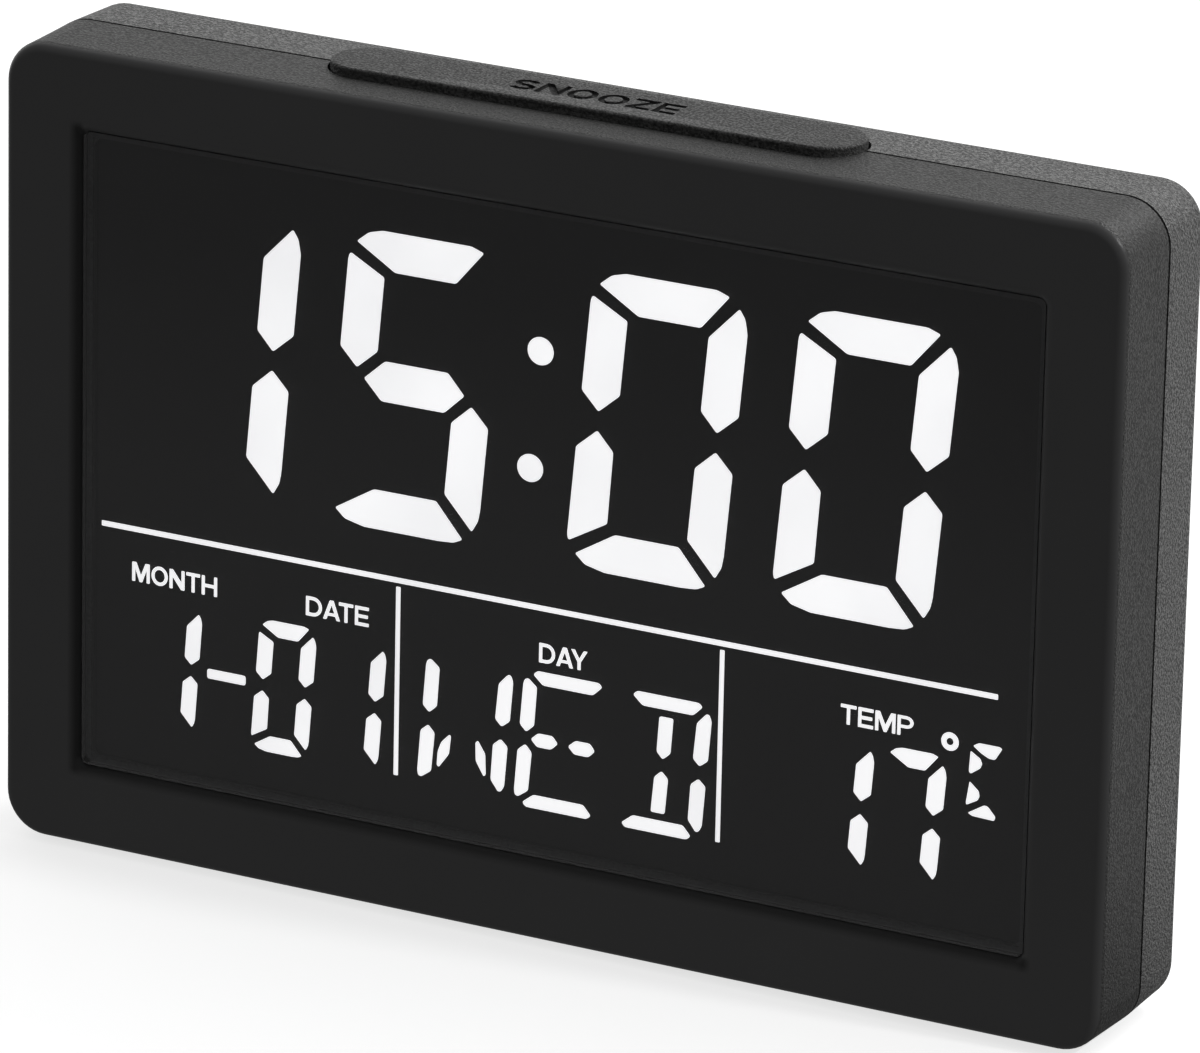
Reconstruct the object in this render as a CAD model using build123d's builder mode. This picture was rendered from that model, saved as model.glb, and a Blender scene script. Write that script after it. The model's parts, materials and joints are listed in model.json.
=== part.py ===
from build123d import *

import os
from math import cos, pi, radians, sin, tan

# Desk day clock with a large display, a snooze bar on its top and five keys on its back.
# Millimetres. X runs to the right seen from the front, Y from the front to the back, Z up.
# The origin is the middle of the footprint, level with the underside of the rubber feet.
# A depth is measured backward from the front face.

# Clearances.
TIGHT_GAP = 0.1  # between pieces that locate each other
SLIP_GAP = 0.2  # round pieces that drop in
OPEN_GAP = 0.3  # round pieces that move
STOP_GAP = 0.05  # left at the end of a travel
PIN_GAP = 0.05
SCREW_GAP = 0.05  # round a shank in its pilot
SCREW_CLEARANCE = 0.25  # round a shank in its hole
SINK = 0.4  # of a boss, rib or pad into the wall that carries it
EDGE_BREAK = 0.2

# Housing: two drafted shells that meet at a parting plane, widest there.
WIDTH = 150.0  # front face
HEIGHT = 102.5  # front face
FRONT_DEPTH = 11.4  # to the parting plane
DRAFT = 1.5  # degrees
WALL = 2.0
CORNER_RADIUS = 5.4
FRONT_EDGE_RADIUS = 1.2
REAR_EDGE_RADIUS = 1.5
GROOVE_WIDTH = 0.45
GROOVE_DEPTH = 0.5
TONGUE_BAND = 0.8
TONGUE_HEIGHT = 1.5
BOSS_RADIUS = 2.8
TUBE_RADIUS = 3.2
RIB_THICKNESS = 0.9  # of the ribs that centre the display tray
RIB_DEPTH = 5.0
RIB_NEAR = 46.0  # of the two upright ribs at each end of the long walls
RIB_FAR = 58.0
RIB_RISE = 10.0  # of the level ribs on the end walls, above and below the middle
FOOT_PROUD = 0.5
FOOT_RADIUS = 2.5
FOOT_HEIGHT = 1.4
FOOT_SPREAD = 116.0

# Display window and the stack of sheets behind it.
BEZEL_SIDE = 10.5
BEZEL_TOP = 10.4  # and below
POCKET_CORNER = 1.0
RIM_RADIUS = 1.5
LENS_SETBACK = 1.0
LENS_THICKNESS = 1.4
TAPE_THICKNESS = 0.2
LEDGE_WIDTH = 1.0
LEDGE_THICKNESS = 0.6
RING_BORDER = 3.5  # of the stiffened wall outside the cell
CELL_BORDER = 2.0  # of the liquid crystal cell behind the ledge
GLASS_THICKNESS = 0.9
TERMINAL_LEDGE = 3.5
DIFFUSER_THICKNESS = 0.2
GUIDE_THICKNESS = 1.8
REFLECTOR_THICKNESS = 0.2
TRAY_WALL = 1.6
TRAY_FLOOR = 0.8
EAR_RISE = 22.0
EAR_RADIUS = 2.6
EAR_BOSS_RADIUS = 2.3
RIBBON_WIDTH = 58.0
RIBBON_THICKNESS = 0.2
RIBBON_LAP = 3.3  # on the glass
RIBBON_DROP = 3.75  # of its crest below the housing's roof
LED_COUNT = 6
LED_SIZE = 3.0
LED_THICKNESS = 1.4
LED_STRIP_THICKNESS = 0.8
LED_TONGUE_HEIGHT = 6.0

# Circuit board.
BOARD_GAP = 1.6  # behind the tray, for solder and screw heads
BOARD_THICKNESS = 1.6
BOARD_BAY_GAP = 6.7  # above the battery bay's wall
BOARD_LEG_WIDTH = 40.0
BOARD_TOP_GAP = 3.5
BOARD_SIDE_GAP = 11.0
BOARD_LEG_GAP = 14.0
POST_RADIUS = 2.5
POST_INSET = 4.0
POST_SPACE = 0.5  # between a post and a contact tab
SWITCH_SIZE = 6.0
SWITCH_HEIGHT = 3.5
ACTUATOR_RADIUS = 1.6
ACTUATOR_HEIGHT = 1.4
CHIP_RADIUS = 5.0
CHIP_HEIGHT = 1.4
CHIP_DROP = 12.5  # below the row of keys
CHIP_INSET = 26.0  # from the board's right edge, as all of these
CRYSTAL_LENGTH = 8.0
CRYSTAL_WIDTH = 3.2
CRYSTAL_HEIGHT = 2.0
CRYSTAL_INSET = 15.5
RESISTOR_LENGTH = 1.6
RESISTOR_WIDTH = 0.8
RESISTOR_HEIGHT = 0.5
RESISTOR_COUNT = 3  # each way
RESISTOR_PITCH_X = 3.0
RESISTOR_PITCH_Z = 2.4
RESISTOR_INSET = 7.0
CAPACITOR_RADIUS = 2.5
CAPACITOR_HEIGHT = 5.6
CAPACITOR_COUNT = 2
CAPACITOR_PITCH = 7.0
CAPACITOR_INSET = 30.0
REGULATOR_SIZE = 6.2
REGULATOR_HEIGHT = 1.8
REGULATOR_INSET = 21.0
POWER_LIFT = 22.0  # of capacitors and regulator, above the board's lower edge
THERMISTOR_RADIUS = 1.1
THERMISTOR_LEG = 0.3
THERMISTOR_RISE = 3.0
THERMISTOR_INSET = 35.0
THERMISTOR_LIFT = 30.0

# Keys.
SNOOZE_LENGTH = 71.0
SNOOZE_WIDTH = 10.0
SNOOZE_RISE = 1.3  # above the front face's top edge
SNOOZE_TRAVEL = 0.7
SNOOZE_GAP = 0.35
SNOOZE_SKIN = 1.4
SNOOZE_EDGE = 0.4
SNOOZE_RIB = 0.8
SNOOZE_RIBS = 4
FLANGE = 0.8
FLANGE_LIP = 0.9  # of a key's flange, past its opening
KEY_LENGTH = 9.0
KEY_WIDTH = 5.5
KEY_GAP = 0.25
KEY_TRAVEL = 0.6
KEY_PITCH = 14.0
KEY_PROUD = 0.6  # of the recess floor
KEY_EDGE = 0.3
KEY_RECESS = 1.2
KEY_MARGIN = 2.0  # of the recess past the outer keys
KEY_MARGIN_Z = 3.0
KEY_PAD = 2.0  # of the thickened wall past the recess
KEY_ROW_DROP = 14.5
SLIDER_PITCH = 20.0  # from the nearest key
SLIDER_TRAVEL = 4.0
SLIDER_LENGTH = 3.0
SLIDER_WIDTH = 2.8
SLIDER_LAP = 0.6  # of its plate past the slot, at the end of its travel
SLIDER_PAD = 1.0
PEG_SIZE = 1.6
PEG_DEPTH = 1.2
ALARM_WALL = 2.0

# Battery bay.
CELL_RADIUS = 5.25
CELL_LENGTH = 44.5
CELL_NUB = 0.8
CELL_NUB_RADIUS = 1.9
CELL_COUNT = 3
CELL_PITCH = 11.3
BAY_SIDE_GAP = 0.7
BAY_RIB = 0.8
BAY_RIB_HEIGHT = 1.6
BAY_WALL = 1.6
BAY_FLOOR = 1.0
BAY_INSET = 10.75  # from the side wall's inner face
BAY_LIFT = 9.7  # of its floor above the housing's floor
PLATE = 0.4
PLATE_SIZE = 9.0
SPRING_SPACE = 5.3
SPRING_TURNS = 3
SPRING_RADIUS = 3.6  # at its plate
SPRING_TIP_RADIUS = 2.2  # at its cell
SPRING_STEPS = 12  # straight lengths of wire in a turn
SPRING_WIRE = 0.6
TAB_WIDTH = 3.0
LEAD_RADIUS = 0.5
LEAD_DROP = 0.8  # below the bay's wall
LEAD_CHANNEL = 5.55  # between the bay's wall and the stand's
DOOR_THICKNESS = 1.6
DOOR_LEDGE = 1.5
DOOR_TAB_WIDTH = 5.0
DOOR_TAB_REACH = 1.1
DOOR_TAB_THICKNESS = 0.5
DOOR_TAB_SETBACK = 0.5  # from the door's outer face
DOOR_CORNER = 1.0
DOOR_DISH = 0.4
LATCH_LENGTH = 8.0
LATCH_WIDTH = 9.0
LATCH_SLIT = 0.8

# Fold-out stand.
STAND_LENGTH = 49.0  # from the pins to the foot
STAND_THICKNESS = 2.4
STAND_RECESS = 3.2
STAND_LIFT = 9.0  # of its foot above the housing's floor
STAND_WALL = 1.6
STAND_EDGE = 1.1
STAND_RIM = 6.4  # round the dished face
STAND_DISH = 1.0
STAND_FINGER_GAP = 3.2  # below the foot
STAND_TOP_GAP = 0.9
STAND_OPENING = 35.0  # degrees
STAND_PIN_RADIUS = 1.0
STAND_PIN_LENGTH = 1.0
STAND_HEEL = 2.0

# Sockets, sounder and screws.
JACK_SIZE = 9.0
JACK_BORE_RADIUS = 3.0
JACK_PIN_RADIUS = 1.0
JACK_SIDE = 7.0  # from the board's right edge
JACK_LIFT = 4.0  # from the board's lower edge
JACK_FLOOR = 1.6
JACK_PIN_SETBACK = 0.8
SOUNDER_RADIUS = 7.0
SOUNDER_HEIGHT = 4.5
SOUNDER_INSET = 9.0  # from the board's right edge
SOUNDER_LIFT = 33.2
SOUNDER_PORT_RADIUS = 1.6
SOUNDER_PORT_DEPTH = 2.0
ROUND_EDGE = 0.4  # of the sounder and the capacitors
GRILLE_HOLE_RADIUS = 0.8
GRILLE_PITCH = 2.8
GRILLE_COUNT = 6  # round the middle hole
SCREW_RADIUS = 0.85
SCREW_HEAD_RADIUS = 1.9
SCREW_HEAD = 1.3
COUNTERBORE = 3.0
SCREW_BITE = 5.0  # of a shank in its boss
PILOT_SPARE = 1.4

# Worked out: the stack from the window back to the battery door sets the depth.
LENS_BACK = LENS_SETBACK + LENS_THICKNESS
POCKET_DEPTH = LENS_BACK + TAPE_THICKNESS
LCD_DEPTH = POCKET_DEPTH + LEDGE_THICKNESS
LCD_BACK = LCD_DEPTH + 2 * GLASS_THICKNESS
GUIDE_DEPTH = LCD_BACK + DIFFUSER_THICKNESS
GUIDE_BACK = GUIDE_DEPTH + GUIDE_THICKNESS
TRAY_FLOOR_DEPTH = GUIDE_BACK + REFLECTOR_THICKNESS
TRAY_BACK = TRAY_FLOOR_DEPTH + TRAY_FLOOR
BOARD_FRONT = TRAY_BACK + BOARD_GAP
BOARD_BACK = BOARD_FRONT + BOARD_THICKNESS
BAY_FRONT = TRAY_BACK + OPEN_GAP
BAY_FLOOR_BACK = BAY_FRONT + BAY_FLOOR
CELL_DEPTH = BAY_FLOOR_BACK + SLIP_GAP + CELL_RADIUS
DOOR_DEPTH = CELL_DEPTH + CELL_RADIUS + SLIP_GAP
DEPTH = DOOR_DEPTH + DOOR_THICKNESS
REAR_DEPTH = DEPTH - FRONT_DEPTH
REAR_WALL_DEPTH = DEPTH - WALL

FRONT_Y = -DEPTH / 2
PARTING_Y = FRONT_Y + FRONT_DEPTH
GROWTH = FRONT_DEPTH * tan(radians(DRAFT))
PARTING_WIDTH = WIDTH + 2 * GROWTH
PARTING_HEIGHT = HEIGHT + 2 * GROWTH
PARTING_CORNER = CORNER_RADIUS + GROWTH
MID_Z = FOOT_PROUD + PARTING_HEIGHT / 2
CAVITY_WIDTH = WIDTH - 2 * WALL
CAVITY_HEIGHT = HEIGHT - 2 * WALL
CAVITY_CORNER = CORNER_RADIUS - WALL
ROOF_Z = MID_Z + CAVITY_HEIGHT / 2
FLOOR_Z = MID_Z - CAVITY_HEIGHT / 2

POCKET_WIDTH = WIDTH - 2 * BEZEL_SIDE
POCKET_HEIGHT = HEIGHT - 2 * BEZEL_TOP
OPENING_WIDTH = POCKET_WIDTH - 2 * LEDGE_WIDTH
OPENING_HEIGHT = POCKET_HEIGHT - 2 * LEDGE_WIDTH
LCD_WIDTH = OPENING_WIDTH + 2 * CELL_BORDER
LCD_HEIGHT = OPENING_HEIGHT + 2 * CELL_BORDER
LCD_TOP = MID_Z + LCD_HEIGHT / 2
LCD_BOTTOM = MID_Z - LCD_HEIGHT / 2
TRAY_INNER_WIDTH = LCD_WIDTH + 2 * SLIP_GAP
TRAY_INNER_HEIGHT = LCD_HEIGHT + 2 * SLIP_GAP
TRAY_WIDTH = TRAY_INNER_WIDTH + 2 * TRAY_WALL
TRAY_HEIGHT = TRAY_INNER_HEIGHT + 2 * TRAY_WALL
RING_WIDTH = LCD_WIDTH + 2 * RING_BORDER
RING_HEIGHT = LCD_HEIGHT + 2 * RING_BORDER

KEY_NAMES = ["light_key", "down_key", "up_key", "alarm_key", "mode_key"]
KEY_PLACES = [KEY_PITCH * (n - (len(KEY_NAMES) - 1) / 2) for n in range(len(KEY_NAMES))]
KEY_ROW_Z = ROOF_Z - KEY_ROW_DROP
KEY_POINTS = [(place, KEY_ROW_Z) for place in KEY_PLACES]
KEY_FLOOR_DEPTH = DEPTH - KEY_RECESS
KEY_WALL_DEPTH = KEY_FLOOR_DEPTH - WALL + SINK
KEY_OPENING_LENGTH = KEY_LENGTH + 2 * KEY_GAP
KEY_OPENING_WIDTH = KEY_WIDTH + 2 * KEY_GAP
KEY_RECESS_LENGTH = KEY_PLACES[-1] - KEY_PLACES[0] + KEY_LENGTH + 2 * KEY_MARGIN
KEY_RECESS_WIDTH = KEY_WIDTH + 2 * KEY_MARGIN_Z
SLIDER_X = KEY_PLACES[0] - SLIDER_PITCH
SLIDER_REST = SLIDER_X - SLIDER_TRAVEL / 2
SLIDER_OPENING = SLIDER_LENGTH + SLIDER_TRAVEL + 2 * OPEN_GAP
SLIDER_SLOT = SLIDER_WIDTH + 2 * OPEN_GAP
SLIDER_PLATE = SLIDER_OPENING + SLIDER_TRAVEL + 2 * SLIDER_LAP
SLIDER_RECESS_LENGTH = SLIDER_OPENING + 2 * KEY_MARGIN
OPENING_LENGTH = SNOOZE_LENGTH + 2 * SNOOZE_GAP
OPENING_BREADTH = SNOOZE_WIDTH + 2 * SNOOZE_GAP
BAR_TOP = MID_Z + HEIGHT / 2 + SNOOZE_RISE

BAY_LEFT = BAY_INSET - CAVITY_WIDTH / 2
BAY_RIGHT = BAY_LEFT + 2 * (BAY_SIDE_GAP + CELL_RADIUS) + CELL_PITCH * (CELL_COUNT - 1)
BAY_BOTTOM = FLOOR_Z + BAY_LIFT
BAY_TOP = BAY_BOTTOM + CELL_LENGTH + 3 * PLATE + SPRING_SPACE
CELL_PLACES = [BAY_LEFT + BAY_SIDE_GAP + CELL_RADIUS + CELL_PITCH * n for n in range(CELL_COUNT)]
CELL_Y = FRONT_Y + CELL_DEPTH
DOOR_LEFT = BAY_LEFT - DOOR_LEDGE
DOOR_RIGHT = BAY_RIGHT + DOOR_LEDGE
DOOR_BOTTOM = BAY_BOTTOM - DOOR_LEDGE
DOOR_TOP = BAY_TOP + DOOR_LEDGE
DOOR_TAB_PLACES = [(DOOR_LEFT * 3 + DOOR_RIGHT) / 4, (DOOR_LEFT + DOOR_RIGHT * 3) / 4]

STAND_SIDE = -BAY_RIGHT - BAY_WALL - LEAD_CHANNEL - STAND_WALL
STAND_WIDTH = 2 * (STAND_SIDE - OPEN_GAP)
STAND_BOTTOM = FLOOR_Z + STAND_LIFT
STAND_AXIS_Z = STAND_BOTTOM + STAND_LENGTH
STAND_FLOOR = DEPTH - STAND_RECESS
STAND_AXIS_DEPTH = STAND_FLOOR + SLIP_GAP + STAND_THICKNESS / 2
STAND_ROOM_TOP = STAND_AXIS_Z + STAND_HEEL + STAND_TOP_GAP
STAND_ROOM_BOTTOM = STAND_BOTTOM - STAND_FINGER_GAP

LED_STRIP_LEFT = TIGHT_GAP - TRAY_INNER_WIDTH / 2
BOARD_LEFT = LED_STRIP_LEFT + LED_STRIP_THICKNESS
GUIDE_LEFT = BOARD_LEFT + LED_THICKNESS + TIGHT_GAP
BOARD_RIGHT = CAVITY_WIDTH / 2 - BOARD_SIDE_GAP
BOARD_TOP = ROOF_Z - BOARD_TOP_GAP
BOARD_BAR_BOTTOM = BAY_TOP + BAY_WALL + BOARD_BAY_GAP
BOARD_LEG_LEFT = BOARD_RIGHT - BOARD_LEG_WIDTH
BOARD_BOTTOM = FLOOR_Z + BOARD_LEG_GAP
SWITCH_TOP = BOARD_BACK + SWITCH_HEIGHT
ACTUATOR_TOP = SWITCH_TOP + ACTUATOR_HEIGHT
SNOOZE_ACTUATOR_TOP = BOARD_TOP + ACTUATOR_HEIGHT
SNOOZE_ACTUATOR_Y = FRONT_Y + BOARD_BACK + SWITCH_HEIGHT / 2
CHIP_Z = KEY_ROW_Z - CHIP_DROP
POWER_Z = BOARD_BOTTOM + POWER_LIFT
JACK_X = BOARD_RIGHT - JACK_SIDE
JACK_Z = BOARD_BOTTOM + JACK_LIFT
SOUNDER_X = BOARD_RIGHT - SOUNDER_INSET
SOUNDER_Z = BOARD_BOTTOM + SOUNDER_LIFT
THERMISTOR_X = BOARD_RIGHT - THERMISTOR_INSET
THERMISTOR_Z = BOARD_BOTTOM + THERMISTOR_LIFT

SEAT_DEPTH = DEPTH - COUNTERBORE  # of the housing screws' heads
PILOT_RADIUS = SCREW_RADIUS + SCREW_GAP
HOLE_RADIUS = SCREW_RADIUS + SCREW_CLEARANCE
TONGUE_END = FRONT_DEPTH + TONGUE_HEIGHT
TONGUE_WIDTH = CAVITY_WIDTH + 2 * TONGUE_BAND
TONGUE_BREADTH = CAVITY_HEIGHT + 2 * TONGUE_BAND
TONGUE_CORNER = CAVITY_CORNER + TONGUE_BAND
BOSS_X = CAVITY_WIDTH / 2 - BOSS_RADIUS + SINK
BOSS_RISE = CAVITY_HEIGHT / 2 - BOSS_RADIUS + SINK
BOSSES = [(side * BOSS_X, MID_Z + rise * BOSS_RISE) for side in (-1, 1) for rise in (-1, 1)]
EAR_X = (TRAY_WIDTH + CAVITY_WIDTH) / 4
EARS = [(side * EAR_X, MID_Z + rise * EAR_RISE) for side in (-1, 1) for rise in (-1, 1)]
POSTS = [
    (BOARD_LEFT + POST_INSET, BOARD_TOP - POST_INSET),
    (CELL_PLACES[0] - TAB_WIDTH / 2 - POST_SPACE - POST_RADIUS, BOARD_BAR_BOTTOM + POST_INSET),
    (BOARD_RIGHT - POST_INSET, BOARD_TOP - POST_INSET),
    (BOARD_RIGHT - POST_INSET, JACK_Z + JACK_SIZE / 2 + 2 * POST_RADIUS),
    (BOARD_LEG_LEFT + POST_INSET, BOARD_BOTTOM + POST_INSET),
]
FEET = [
    (side * FOOT_SPREAD / 2, FRONT_Y + depth)
    for side in (-1, 1)
    for depth in (FRONT_DEPTH / 2, FRONT_DEPTH + REAR_DEPTH / 2)
]


def at_depth(depth):
    """Upright plane this far behind the front face: u is X, v is Z, extrusions run forward."""
    return Plane(origin=(0, FRONT_Y + depth, 0), x_dir=(1, 0, 0), z_dir=(0, -1, 0))


def in_pocket(edge):
    """Whether an edge of the front face belongs to the window's pocket."""
    middle = edge.center()
    return abs(middle.X) <= POCKET_WIDTH / 2 and abs(middle.Z - MID_Z) <= POCKET_HEIGHT / 2


def panel(width, height, radius, depth):
    """Rounded rectangle about the middle of the housing."""
    with BuildSketch(at_depth(depth)) as outline:
        with Locations((0, MID_Z)):
            RectangleRounded(width, height, radius)
    return outline.sketch


def band(width, height, radius, thickness, depth):
    """Rounded rectangular ring about the middle of the housing, its thickness measured inward."""
    with BuildSketch(at_depth(depth)) as outline:
        with Locations((0, MID_Z)):
            RectangleRounded(width, height, radius)
            inner_radius = radius - thickness
            RectangleRounded(width - 2 * thickness, height - 2 * thickness, inner_radius, mode=Mode.SUBTRACT)
    return outline.sketch


def rectangle(left, right, bottom, top, depth):
    """Rectangle between these sides and levels."""
    with BuildSketch(at_depth(depth)) as outline:
        with Locations(((left + right) / 2, (bottom + top) / 2)):
            Rectangle(right - left, top - bottom)
    return outline.sketch


def patch(x, z, length, height, depth):
    """Rectangle about an X and Z place."""
    return rectangle(x - length / 2, x + length / 2, z - height / 2, z + height / 2, depth)


def discs(places, radius, depth):
    """A circle at each X and Z place."""
    with BuildSketch(at_depth(depth)) as outline:
        with Locations(*places):
            Circle(radius)
    return outline.sketch


def slots(places, length, width, depth):
    """A stadium at each X and Z place, long along X."""
    with BuildSketch(at_depth(depth)) as outline:
        with Locations(*places):
            SlotOverall(length, width)
    return outline.sketch


def bar_outline(length, width, level):
    """The snooze bar's stadium, astride the parting plane, on a level plane."""
    with BuildSketch(Plane.XY.offset(level)) as outline:
        with Locations((0, PARTING_Y)):
            SlotOverall(length, width)
    return outline.sketch


def foot_circles(radius):
    """The four feet's circles on the ground."""
    with BuildSketch() as outline:
        with Locations(*FEET):
            Circle(radius)
    return outline.sketch


os.makedirs("parts", exist_ok=True)

# ---------------------------------------------------------------- front shell
with BuildPart() as front_shell:
    front_block = panel(PARTING_WIDTH, PARTING_HEIGHT, PARTING_CORNER, FRONT_DEPTH)
    extrude(front_block, amount=FRONT_DEPTH, taper=DRAFT)
    fillet(front_shell.edges().group_by(Axis.Y)[0], FRONT_EDGE_RADIUS)
    cavity = panel(CAVITY_WIDTH, CAVITY_HEIGHT, CAVITY_CORNER, FRONT_DEPTH)
    extrude(cavity, amount=FRONT_DEPTH - WALL, mode=Mode.SUBTRACT)
    extrude(panel(RING_WIDTH, RING_HEIGHT, POCKET_CORNER, LCD_DEPTH), amount=LCD_DEPTH - WALL)
    pocket = panel(POCKET_WIDTH, POCKET_HEIGHT, POCKET_CORNER, POCKET_DEPTH)
    extrude(pocket, amount=POCKET_DEPTH, mode=Mode.SUBTRACT)
    face_edges = front_shell.edges().group_by(Axis.Y)[0]
    fillet(face_edges.filter_by(in_pocket), RIM_RADIUS)
    window = panel(OPENING_WIDTH, OPENING_HEIGHT, POCKET_CORNER, LCD_DEPTH)
    extrude(window, amount=LCD_DEPTH, mode=Mode.SUBTRACT)
    # Ribs that centre the display tray, bosses for the housing screws and for the tray's ears.
    rib_back = WALL + RIB_DEPTH
    upright_rib = (CAVITY_HEIGHT - TRAY_HEIGHT) / 2 + SINK - SLIP_GAP
    level_rib = (CAVITY_WIDTH - TRAY_WIDTH) / 2 + SINK - SLIP_GAP
    for side in (-1, 1):
        rib_z = MID_Z + side * (CAVITY_HEIGHT / 2 + SINK - upright_rib / 2)
        rib_x = side * (CAVITY_WIDTH / 2 + SINK - level_rib / 2)
        for place in (-RIB_FAR, -RIB_NEAR, RIB_NEAR, RIB_FAR):
            extrude(patch(place, rib_z, RIB_THICKNESS, upright_rib, rib_back), amount=RIB_DEPTH)
        for rise in (-RIB_RISE, RIB_RISE):
            extrude(patch(rib_x, MID_Z + rise, level_rib, RIB_THICKNESS, rib_back), amount=RIB_DEPTH)
    extrude(discs(BOSSES, BOSS_RADIUS, FRONT_DEPTH), amount=FRONT_DEPTH - WALL)
    extrude(discs(EARS, EAR_BOSS_RADIUS, TRAY_FLOOR_DEPTH), amount=TRAY_FLOOR_DEPTH - WALL)
    ear_pilot = TRAY_FLOOR_DEPTH - LCD_DEPTH
    extrude(discs(BOSSES, PILOT_RADIUS, FRONT_DEPTH), amount=SCREW_BITE + PILOT_SPARE, mode=Mode.SUBTRACT)
    extrude(discs(EARS, PILOT_RADIUS, TRAY_FLOOR_DEPTH), amount=ear_pilot, mode=Mode.SUBTRACT)
    # Tongue that the rear shell closes over, clear of its screw tubes.
    extrude(band(TONGUE_WIDTH, TONGUE_BREADTH, TONGUE_CORNER, TONGUE_BAND, TONGUE_END), amount=TONGUE_HEIGHT)
    extrude(discs(BOSSES, TUBE_RADIUS + TIGHT_GAP, TONGUE_END), amount=TONGUE_HEIGHT, mode=Mode.SUBTRACT)
    # Shadow groove round the parting line.
    groove_width = PARTING_WIDTH + 2 * WALL
    groove_height = PARTING_HEIGHT + 2 * WALL
    groove = band(groove_width, groove_height, PARTING_CORNER + WALL, WALL + GROOVE_DEPTH, FRONT_DEPTH)
    extrude(groove, amount=GROOVE_WIDTH, mode=Mode.SUBTRACT)
    extrude(bar_outline(OPENING_LENGTH, OPENING_BREADTH, ROOF_Z), amount=2 * WALL, mode=Mode.SUBTRACT)
    extrude(foot_circles(FOOT_RADIUS + TIGHT_GAP), amount=FOOT_HEIGHT, mode=Mode.SUBTRACT)
front_shell.part.label = "front_shell"
export_step(front_shell.part, "parts/front_shell.step")

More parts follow.
